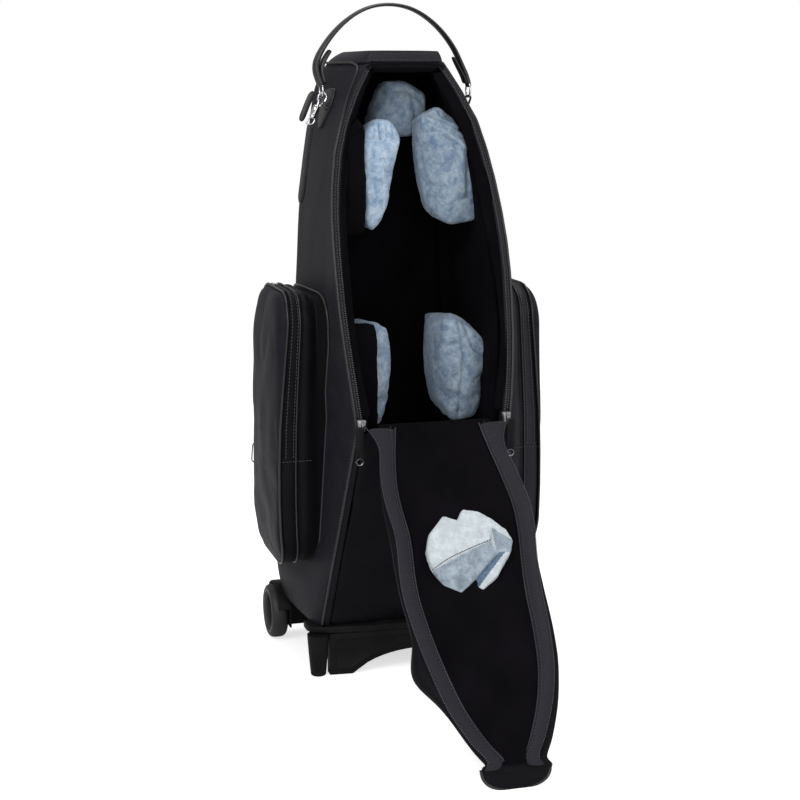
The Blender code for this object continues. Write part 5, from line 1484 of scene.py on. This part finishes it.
class Sliders(bpy.types.Operator):
    """Zipper sliders and their pulls"""

    bl_idname = "bag.sliders"
    bl_label = "Sliders"

    def execute(self, context):
        for word, _ in SIDES:
            self.main_slider(word)
            self.pocket_slider(word)
        return {"FINISHED"}

    def main_slider(self, word):
        """A slider of the main zipper with its bridge, pull and eyelet."""
        low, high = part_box("main_slider_" + word)
        middle = (low + high) / 2
        made = bmesh.new()
        wide, deep, tall = high - low
        wide *= 1.25
        for y, thick in ((low.y + 0.0012, 0.0018), (high.y - 0.0010, 0.0016)):
            verts = block(made, Matrix.Translation((middle.x, y, middle.z)), (wide, thick, tall))
            for vert in verts:
                if vert.co.z < middle.z:
                    vert.co.x = middle.x + (vert.co.x - middle.x) * 0.62
        block(made, Matrix.Translation((middle.x, middle.y, high.z - 0.003)), (0.003, deep - 0.002, 0.005))
        rounded(made, 0.0006, 2)
        bridge = [Vector((middle.x, low.y + 0.0008, high.z - 0.0025)),
                  Vector((middle.x, low.y - 0.0016, high.z - 0.0040)),
                  Vector((middle.x, low.y - 0.0020, middle.z - 0.0005)),
                  Vector((middle.x, low.y + 0.0008, low.z + 0.0025))]
        join(made, tube(smooth_line(bridge, 0.001), WIRE))
        finished("slider_main_" + word, made, "gunmetal", "main_slider_" + word)
        made = rounded(cad_copy("main_pull_" + word), 0.0006, 2)
        low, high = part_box("main_pull_" + word)
        centre = Vector(((low.x + high.x) / 2, (low.y + high.y) / 2, low.z + (high.x - low.x) / 2))
        sharp(finished("pull_main_" + word, made, "plastic", "main_pull_" + word,
                       "main_pull_" + word + "_body"))
        ring = circle(centre, (1, 0, 0), (0, 0, 1), 0.0045, 24)
        made = tube(ring, RING_CORD, closed=True)
        finished("pull_eyelet_" + word, made, "gunmetal", body="main_pull_" + word + "_body")

    def pocket_slider(self, word):
        """A pocket's slider and its wire pull."""
        made = rounded(cad_copy("pocket_slider_" + word), 0.0010, 2)
        sharp(finished("slider_pocket_" + word, made, "gunmetal", "pocket_slider_" + word))
        low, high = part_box("pocket_pull_" + word)
        middle = (low + high) / 2
        wide = (high.x - low.x) / 2 - 0.001
        line = [Vector((middle.x + a * wide, middle.y, b))
                for a, b in ((-0.30, high.z - 0.001), (0.30, high.z - 0.001), (0.55, high.z - 0.006),
                             (0.85, low.z + 0.012), (0.80, low.z + 0.007), (0, low.z + 0.0045),
                             (-0.80, low.z + 0.007), (-0.85, low.z + 0.012), (-0.55, high.z - 0.006))]
        made = tube(smooth_line(line, 0.0015, True)[:-1], 0.0010, closed=True)
        finished("pull_pocket_" + word, made, "gunmetal", "pocket_pull_" + word,
                 "pocket_pull_" + word + "_body")


class CarryingHandle(bpy.types.Operator):
    """Leather handle, rings, tabs, hook and key strap"""

    bl_idname = "bag.carrying_handle"
    bl_label = "Carrying handle"

    def execute(self, context):
        trim = context.scene.bag_trim
        line = self.middle_line()
        self.end_layers(line)
        rings = []
        edges = ([], [])
        for i, matrix in enumerate(axes_along(line, lambda p: p - HANDLE_MIDDLE)):
            share = i / (len(line) - 1)
            end = min(share, 1 - share)
            taper = min(end / 0.16, 1.0)
            if share < 0.5:
                taper = max(taper, 0.62)
            wide = 0.0055 + 0.0045 * taper
            thick = 0.0036 - 0.0012 * taper + (0.0022 if share < 0.5 else 0.0004) * (1 - min(end / 0.34, 1.0))
            ring = []
            for k in range(12):
                ring.append(matrix @ Vector((0, *squarish(2 * math.pi * k / 12, wide, thick, (0.7, 0.8)))))
            rings.append(ring)
            for edge, way in zip(edges, (-1, 1)):
                edge.append(matrix @ Vector((0, way * wide * 0.60, thick * 0.60)))
        made = smoothed(loft(rings))
        finished("handle_leather", made, "leather", "handle_strap", "carrying_handle")
        for number, edge in enumerate(edges):
            stitches("handle_stitches_" + str(number + 1), smooth_line(edge[3:-3], 0.004),
                     lambda p: p - HANDLE_MIDDLE, "carrying_handle", trim, 0.0, FINE_STITCH)
        for word, side in SIDES:
            low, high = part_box("handle_ring_" + word)
            middle = (low + high) / 2
            radius = (high.z - low.z) / 2 - RING_CORD
            ring = circle(middle, (0, 1, 0), (0, 0, 1), radius, 40)
            finished("ring_" + word, tube(ring, RING_CORD, 3, closed=True), "chrome", "handle_ring_" + word)
            self.tab(word, side, trim)
        self.key_strap(trim)
        return {"FINISHED"}

    def middle_line(self):
        """The strap's centre line, from the CAD strap."""
        strap = cad_copy("handle_strap")
        skin = bvhtree.BVHTree.FromBMesh(strap)
        strap.free()
        low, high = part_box("handle_strap")
        centre = Vector((0, (low.y + high.y) / 2 + STRAP_ASIDE, JOINTS["handle_swing"].z - 0.003))
        points = []
        for step in range(ARCH_STEPS + 1):
            turn = math.radians(ARCH_FROM - (ARCH_FROM - ARCH_TO) * step / ARCH_STEPS)
            way = Vector((math.cos(turn), 0, math.sin(turn)))
            inner = skin.ray_cast(centre, way)[0]
            outer = skin.ray_cast(centre + way * 0.3, -way)[0]
            if inner and outer:
                points.append((inner + outer) / 2 - Vector((0, STRAP_ASIDE, 0)))
        first, second = points[0], points[1]
        points = [first + (first - second).normalized() * 0.006] + points
        points.append(points[-1] + (points[-1] - points[-2]).normalized() * 0.006)
        for _ in range(3):
            inner = [(a + b * 2 + c) / 4 for a, b, c in zip(points, points[1:], points[2:])]
            points = [points[0], *inner, points[-1]]
        return smooth_line(points, 0.005)

    def end_layers(self, line):
        """The folded-back ends of the strap inside the arch, and the lacing on the left one."""
        for word, run, steps, stand in (("left", line, 12, 0.0035), ("right", line[::-1], 10, 0.0)):
            rings = []
            for i, place in list(enumerate(run[:steps]))[1:]:
                share = i / (steps - 1)
                inwards = (ARCH_MIDDLE - place).normalized()
                along = (run[i + 1] - place).normalized()
                base = place + inwards * (0.0042 + 0.0022 * share + stand * (0.4 + 0.6 * share))
                wide = 0.0088 * (1 - 0.35 * share ** 4)
                rings.append([base + Vector((0, a * wide, 0)) + inwards * (b * (0.0014 + stand * 0.5))
                              for a, b in ((-1, -0.5), (-0.85, -1), (0.85, -1), (1, -0.5), (1, 0.5),
                                           (0.85, 1), (-0.85, 1), (-1, 0.5))])
            rings[-1] = [p + along * 0.003 for p in rings[-1]]
            made = smoothed(loft(rings))
            finished("handle_end_" + word, made, "leather", body="carrying_handle")
        lace = []
        for i in range(30):
            place = line[2].lerp(line[9], i / 29)
            out = (place - ARCH_MIDDLE).normalized()
            lace.append(place + out * 0.0026 + Vector((0, 0.0062 if i % 2 else -0.0062, 0)))
        cord = tube(smooth_line(lace, 0.0016), 0.0011, 1)
        finished("handle_lacing", cord, "leather", body="carrying_handle")

    def tab(self, word, side, trim):
        """A leather patch on the side wall and the loop that holds the ring."""
        ring_low, ring_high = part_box("handle_ring_" + word)
        rings = []
        edges = ([], [])
        for z, near, far in ((0.7812, 0.2020, 0.2140), (0.7800, 0.1975, 0.2220), (0.7765, 0.1945, 0.2280),
                             (0.7690, 0.1925, 0.2320), (0.7600, 0.1928, 0.2315), (0.7520, 0.1945, 0.2290),
                             (0.7440, 0.1970, 0.2260), (0.7370, 0.2000, 0.2230), (0.7315, 0.2045, 0.2195),
                             (0.7285, 0.2090, 0.2160)):
            middle = (near + far) / 2
            ring = []
            for a, b in ((-1, 0.25), (-0.88, 1), (0, 1.08), (0.88, 1), (1, 0.25), (0.9, 0), (0, 0),
                         (-0.9, 0)):
                ring.append(wall_point(side, z, middle + a * (far - near) / 2, -0.0002 - 0.0032 * b))
            rings.append(ring)
            for edge, y in zip(edges, (near + 0.0020, far - 0.0020)):
                edge.append(wall_point(side, z, y, -0.0034))
        made = smoothed(loft(rings), 2)
        finished("tab_" + word, made, "leather", "handle_tab_" + word)
        run = edges[0][::-1] + edges[1]
        stitches("tab_stitches_" + word, smooth_line(run, 0.003), (side, 0, 0), "bag", trim, 0.0,
                 (0.0022, 0.0007, 0.0006))
        ring_x = (ring_low.x + ring_high.x) / 2
        middle = (ring_low.y + ring_high.y) / 2
        foot = wall_point(side, 0.7520, middle, -0.0028)
        crook = ring_low.z + 0.0014
        way = ((foot.x, 0.7520), ((foot.x + ring_x) / 2 + side * 0.002, 0.7575),
               (ring_x + side * 0.0030, crook - 0.0026), (ring_x + side * 0.0034, crook + 0.0012),
               (ring_x, crook + 0.0034), (ring_x - side * 0.0034, crook + 0.0010),
               ((foot.x + ring_x) / 2 - side * 0.001, 0.7625), (foot.x - side * 0.001, 0.7590))
        line = smooth_line([Vector((x, 0, z)) for x, z in way], 0.0016)
        rows = [[p + Vector((0, middle + a * 0.0042, 0)) for a in (-1, -0.85, -0.4, 0, 0.4, 0.85, 1)]
                for p in line]
        made = subdivided(thicken(sheet_from(rows), 0.0016), 1, 80, 0.2)
        finished("tab_loop_" + word, made, "leather")

    def key_strap(self, trim):
        """The swivel hook with its lever, and the leather strap that hangs from it."""
        made = bmesh.new()
        pivot = JOINTS["key_strap_swing"]
        head = Vector((pivot.x + 0.001, pivot.y, pivot.z - 0.004))
        start = Vector((-0.1095, 0.1920, 0.7625))
        away = (Vector((-0.1255, 0.1920, 0.7270)) - start).normalized()
        hook = [head + Vector((0.0012, 0, -0.0060)), head + Vector((0.0040, 0, -0.0010)),
                head + Vector((0.0034, 0, 0.0042)), head + Vector((-0.0010, 0, 0.0066)),
                head + Vector((-0.0058, 0, 0.0034)), head + Vector((-0.0078, -0.001, -0.0030)), start,
                start + away * 0.012]
        join(made, tube(smooth_line(hook, 0.001), 0.0015, 3))
        join(made, turned(((0.004, 0), (0.004, 0.0030), (0.006, 0.0044), (0.014, 0.0046), (0.0155, 0.0034),
                           (0.017, 0.0034), (0.0185, 0.0046), (0.0205, 0.0046), (0.0220, 0.0032),
                           (0.0220, 0)), start, away, 32))
        loop = [start + away * d + Vector((w, 0, 0)) for d, w in ((0.022, -0.002), (0.024, -0.0045),
                (0.030, -0.0045), (0.032, 0), (0.030, 0.0045), (0.024, 0.0045), (0.022, 0.002))]
        join(made, tube(smooth_line(loop, 0.001, True)[:-1], 0.0012, closed=True))
        join(made, tube([head + Vector((0.0012, 0.001, -0.0060)),
                         start + away * 0.006 + Vector((0.003, 0, 0))], WIRE))
        finished("swivel_hook", made, "chrome", "tag_hook", "key_strap")
        lever = smooth_line([(-0.1165, 0.1866, 0.7765), (-0.1198, 0.1862, 0.7735), (-0.1245, 0.1864, 0.7640),
                             (-0.1300, 0.1866, 0.7510), (-0.1352, 0.1872, 0.7380)], 0.003)
        rings = []
        for i, matrix in enumerate(axes_along(lever, (0, -1, 0))):
            wide = 0.0046 * min(1.0, 0.55 + 0.25 * min(i, len(lever) - 1 - i))
            rings.append([matrix @ Vector((0, wide * math.cos(t * math.pi / 5),
                                           0.0017 * math.sin(t * math.pi / 5))) for t in range(10)])
        made = smoothed(loft(rings))
        finished("hook_lever", made, "piping", body="key_strap")
        low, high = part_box("tag_strap")
        top = Vector((high.x - 0.0080, (low.y + high.y) / 2, high.z))
        foot = Vector((low.x + 0.0045, (low.y + high.y) / 2, low.z))
        lean = (foot - top).normalized()
        across = lean.cross(Vector((0, 1, 0))).normalized()
        rings = []
        for i in range(19):
            share = i / 18
            sway = 0.0012 * math.sin(share * 5)
            base = top.lerp(foot, share) + Vector((0, sway - 0.0004, 0))
            wide = 0.0046 * (1 if share < 0.93 else 1 - (share - 0.93) * 7)
            rings.append([base + across * (wide * a) + Vector((0, 0.0013 * b, 0))
                          for a, b in ((-1, -0.6), (-0.8, -1), (0.8, -1), (1, -0.6), (1, 0.6), (0.8, 1),
                                       (-0.8, 1), (-1, 0.6))])
        made = smoothed(loft(rings))
        finished("key_strap_leather", made, "leather", "tag_strap", "key_strap")
        for number, way in ((1, -0.72), (2, 0.72)):
            run = [top.lerp(foot, 0.03 + 0.90 * i / 30) + across * (0.0046 * way) + Vector((0, -0.0014, 0))
                   for i in range(31)]
            stitches("key_strap_stitches_" + str(number), run, (0, -1, 0), "key_strap", trim, 0.0,
                     (0.0024, 0.0007, 0.0006))


def near_and_far(node):
    """How far a node's two sides are from the middle plane."""
    return sorted(abs(corner.x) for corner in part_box(node))


class Base(bpy.types.Operator):
    """Moulded base: rail, skirt, feet, wheel housings, axles and wheels"""

    bl_idname = "bag.base"
    bl_label = "Base and wheels"

    def execute(self, context):
        made = rounded(cad_copy("base_frame"), 0.0030, 4, 50)
        sharp(finished("base_rail", made, "plastic", "base_frame"), 40)
        made = cad_copy("front_skirt")
        made.normal_update()
        front = [f for f in made.faces if f.normal.y < -0.8]
        bmesh.ops.inset_region(made, faces=front, thickness=0.0075, depth=0.0, use_even_offset=True,
                               use_boundary=True)
        bmesh.ops.inset_region(made, faces=front, thickness=0.0012, depth=-0.0014, use_even_offset=True,
                               use_boundary=True)
        sharp(finished("skirt", made, "plastic", "front_skirt"), 30)
        for word, side in SIDES:
            self.foot(word)
            made = rounded(cad_copy("wheel_housing_" + word), 0.0012, 2, 50)
            sharp(finished("housing_" + word, made, "plastic", "wheel_housing_" + word), 35)
            self.wheel(word, side)
        return {"FINISHED"}

    def foot(self, word):
        """A round foot with its sole."""
        low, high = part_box("front_foot_" + word)
        centre = Vector(((low.x + high.x) / 2, (low.y + high.y) / 2, 0))
        profile = ((low.z, 0), (low.z, 0.0085), (low.z + 0.0008, 0.0098), (low.z + 0.0025, 0.0105),
                   (low.z + 0.005, 0.0107), (low.z + 0.0058, 0.0102), (low.z + 0.0066, 0.0109),
                   (high.z * 0.5, 0.0129), (high.z - 0.001, 0.0150), (high.z, 0.0148), (high.z, 0))
        made = turned(profile, centre, (0, 0, 1), 48)
        sharp(finished("foot_" + word, made, "plastic", "front_foot_" + word), 40)

    def wheel(self, word, side):
        """A tyre with its hub, rim ring and axle."""
        low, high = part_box("tyre_" + word)
        centre = Vector((0, (low.y + high.y) / 2, (low.z + high.z) / 2))
        radius = (high.z - low.z) / 2
        near, far = near_and_far("tyre_" + word)
        wide = far - near
        out = Vector((side, 0, 0))
        tyre = ((near, 0.0265), (near, radius * 0.88), (near + 0.0015, radius * 0.94),
                (near + wide * 0.18, radius * 0.985), (near + wide * 0.35, radius),
                (near + wide * 0.65, radius), (near + wide * 0.80, radius * 0.982),
                (far - 0.0022, radius * 0.935), (far - 0.0008, radius * 0.87), (far - 0.0008, radius * 0.80),
                (far - 0.0030, radius * 0.775), (far - 0.0040, 0.0285))
        made = turned(tyre + (tyre[0],), centre, out, 96)
        finished("tyre_rubber_" + word, made, "rubber", "tyre_" + word, "wheel_" + word)
        near, far = near_and_far("hub_" + word)
        hub = ((near + 0.001, 0), (near + 0.001, 0.026), (near + 0.003, 0.0284), (far - 0.0085, 0.0284),
               (far - 0.0066, 0.0284), (far - 0.0060, 0.0276), (far - 0.0060, 0.0262), (far - 0.0066, 0.0252),
               (far - 0.0052, 0.0238), (far - 0.0030, 0.0200), (far - 0.0013, 0.0140), (far - 0.0003, 0.0070),
               (far, 0))
        made = turned(hub, centre, out, 80)
        finished("hub_cap_" + word, made, "plastic", "hub_" + word, "wheel_" + word)
        rim = circle(centre + out * (far - 0.0060), (0, 1, 0), (0, 0, 1), 0.0293, 80)
        finished("wheel_rim_" + word, tube(rim, 0.0012, closed=True), "aluminium", body="wheel_" + word)
        frame["nodes"]["axle_" + word].data.materials.clear()
        frame["nodes"]["axle_" + word].data.materials.append(FINISH["gunmetal"])


class PullHandle(bpy.types.Operator):
    """Telescopic pull handle on the back"""

    bl_idname = "bag.pull_handle"
    bl_label = "Pull handle"

    def execute(self, context):
        parts = (("trolley_bracket", 0.0030, "plastic", "bag"), ("trolley_foot", 0.0030, "plastic", "bag"),
                 ("trolley_tube_left", 0.0012, "aluminium", "bag"),
                 ("trolley_tube_right", 0.0012, "aluminium", "bag"),
                 ("trolley_rod_left", 0.0010, "aluminium", "pull_handle"),
                 ("trolley_rod_right", 0.0010, "aluminium", "pull_handle"),
                 ("trolley_button", 0.0016, "rubber", "button"))
        for node, width, finish, body in parts:
            made = rounded(cad_copy(node), width, 3, 50)
            sharp(finished(node.replace("trolley", "pull"), made, finish, node, body), 40)
        made = rounded(cad_copy("trolley_grip"), 0.0040, 4, 50)
        sharp(finished("pull_grip", made, "plastic", "trolley_grip", "pull_handle"), 40)
        low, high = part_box("trolley_grip")
        ribs = bmesh.new()
        for i in range(9):
            x = -0.036 + 0.009 * i
            block(ribs, Matrix.Translation((x, high.y - 0.0006, (low.z + high.z) / 2)),
                  (0.0032, 0.0024, 0.014))
        rounded(ribs, 0.0010, 2)
        finished("pull_grip_ribs", ribs, "rubber", body="pull_handle")
        screws = bmesh.new()
        for node in ("trolley_bracket", "trolley_foot"):
            low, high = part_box(node)
            for x in (-0.024, 0.024):
                head = ((-0.0010, 0), (-0.0010, 0.0040), (0.0004, 0.0040), (0.0012, 0.0032), (0.0015, 0))
                join(screws, turned(head, Vector((x, high.y, (low.z + high.z) / 2)), (0, 1, 0), 24))
        finished("pull_screws", screws, "chrome")
        return {"FINISHED"}


CAMERA_PLACE = (-0.63807, -2.02219, 0.7995)
CAMERA_TURN = (79.067, 0, -16.1494)
LENS, SENSOR = 75.92, 36
FLOOR_HALF = 40
AMBIENT, FLOOR_GLOW = 0.42, 0.64
LAMP_AIM = Vector((0, 0.1, 0.4))
LAMPS = (("key", (-1.6, -1.4, 1.9), 1.2, 25), ("fill", (1.8, -1.6, 1.3), 1.6, 13),
         ("top", (0.2, 0.4, 2.3), 1.4, 18), ("front", (-0.3, -2.6, 1.0), 1.2, 13))


class Stage(bpy.types.Operator):
    """Pale floor, soft lights, white surroundings and the camera"""

    bl_idname = "bag.stage"
    bl_label = "Stage"

    def execute(self, context):
        scene = context.scene
        scene.view_settings.view_transform = "Standard"
        made = bmesh.new()
        bmesh.ops.create_grid(made, x_segments=1, y_segments=1, size=FLOOR_HALF)
        floor = finished("floor", made, "floor", body=None)
        self.bright_to_camera(floor.data.materials[0])
        world = bpy.data.worlds.new("studio")
        world.use_nodes = True
        scene.world = world
        nodes = world.node_tree.nodes
        links = world.node_tree.links
        ray = nodes.new("ShaderNodeLightPath")
        seen = nodes.new("ShaderNodeMath")
        seen.operation = "MAXIMUM"
        links.new(ray.outputs["Is Camera Ray"], seen.inputs[0])
        links.new(ray.outputs["Is Transmission Ray"], seen.inputs[1])
        soft = nodes["Background"]
        soft.inputs["Color"].default_value = (1, 1, 1, 1)
        soft.inputs["Strength"].default_value = AMBIENT
        white = nodes.new("ShaderNodeBackground")
        white.inputs["Color"].default_value = (1, 1, 1, 1)
        white.inputs["Strength"].default_value = 1.0
        mix = nodes.new("ShaderNodeMixShader")
        links.new(seen.outputs[0], mix.inputs["Fac"])
        links.new(soft.outputs[0], mix.inputs[1])
        links.new(white.outputs[0], mix.inputs[2])
        links.new(mix.outputs[0], nodes["World Output"].inputs["Surface"])
        for name, place, size, power in LAMPS:
            lamp = bpy.data.lights.new(name, "AREA")
            lamp.size = size
            lamp.energy = power
            light = bpy.data.objects.new(name, lamp)
            light.location = place
            light.rotation_euler = (LAMP_AIM - Vector(place)).to_track_quat("-Z", "Y").to_euler()
            scene.collection.objects.link(light)
        data = bpy.data.cameras.new("camera")
        data.lens = LENS
        data.sensor_width = SENSOR
        camera = bpy.data.objects.new("camera", data)
        camera.location = CAMERA_PLACE
        camera.rotation_euler = [math.radians(turn) for turn in CAMERA_TURN]
        scene.collection.objects.link(camera)
        scene.camera = camera
        return {"FINISHED"}

    def bright_to_camera(self, made):
        """The floor keeps a faint shadow and otherwise goes to white."""
        nodes = made.node_tree.nodes
        links = made.node_tree.links
        shader = nodes["Principled BSDF"]
        glow = nodes.new("ShaderNodeEmission")
        glow.inputs["Color"].default_value = (1, 1, 1, 1)
        glow.inputs["Strength"].default_value = FLOOR_GLOW
        ray = nodes.new("ShaderNodeLightPath")
        dark = nodes.new("ShaderNodeEmission")
        dark.inputs["Strength"].default_value = 0.0
        pick = nodes.new("ShaderNodeMixShader")
        links.new(ray.outputs["Is Camera Ray"], pick.inputs["Fac"])
        links.new(dark.outputs[0], pick.inputs[1])
        links.new(glow.outputs[0], pick.inputs[2])
        total = nodes.new("ShaderNodeAddShader")
        links.new(shader.outputs[0], total.inputs[0])
        links.new(pick.outputs[0], total.inputs[1])
        links.new(total.outputs[0], nodes["Material Output"].inputs["Surface"])


MAKERS = (ShellPanels, Linings, Piping, OpeningZipper, Lid, FoldStrip, Cushions, Pockets, Sliders,
          CarryingHandle, Base, PullHandle, Stage)


class BagPanel(bpy.types.Panel):
    """Lists the bag's sizes, colours and makers"""

    bl_idname = "BAG_PT_makers"
    bl_label = "Wheeled saxophone bag"
    bl_space_type = "VIEW_3D"
    bl_region_type = "UI"
    bl_category = "Bag"

    def draw(self, context):
        for group in (context.scene.bag_colours, context.scene.bag_trim):
            box = self.layout.box()
            for name in group.__annotations__:
                box.prop(group, name)
        for maker in MAKERS:
            self.layout.operator(maker.bl_idname)


CLASSES = (BagColours, BagTrim, *MAKERS, BagPanel)


def register():
    for kind in CLASSES:
        bpy.utils.register_class(kind)
    bpy.types.Scene.bag_colours = bpy.props.PointerProperty(type=BagColours)
    bpy.types.Scene.bag_trim = bpy.props.PointerProperty(type=BagTrim)


def unregister():
    del bpy.types.Scene.bag_trim
    del bpy.types.Scene.bag_colours
    for kind in reversed(CLASSES):
        bpy.utils.unregister_class(kind)


def main():
    register()
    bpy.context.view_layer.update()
    FINISH.update(make_finishes(bpy.context.scene.bag_colours))
    for maker in MAKERS:
        getattr(bpy.ops.bag, maker.bl_idname.split(".")[1])()


if __name__ == "__main__":
    main()
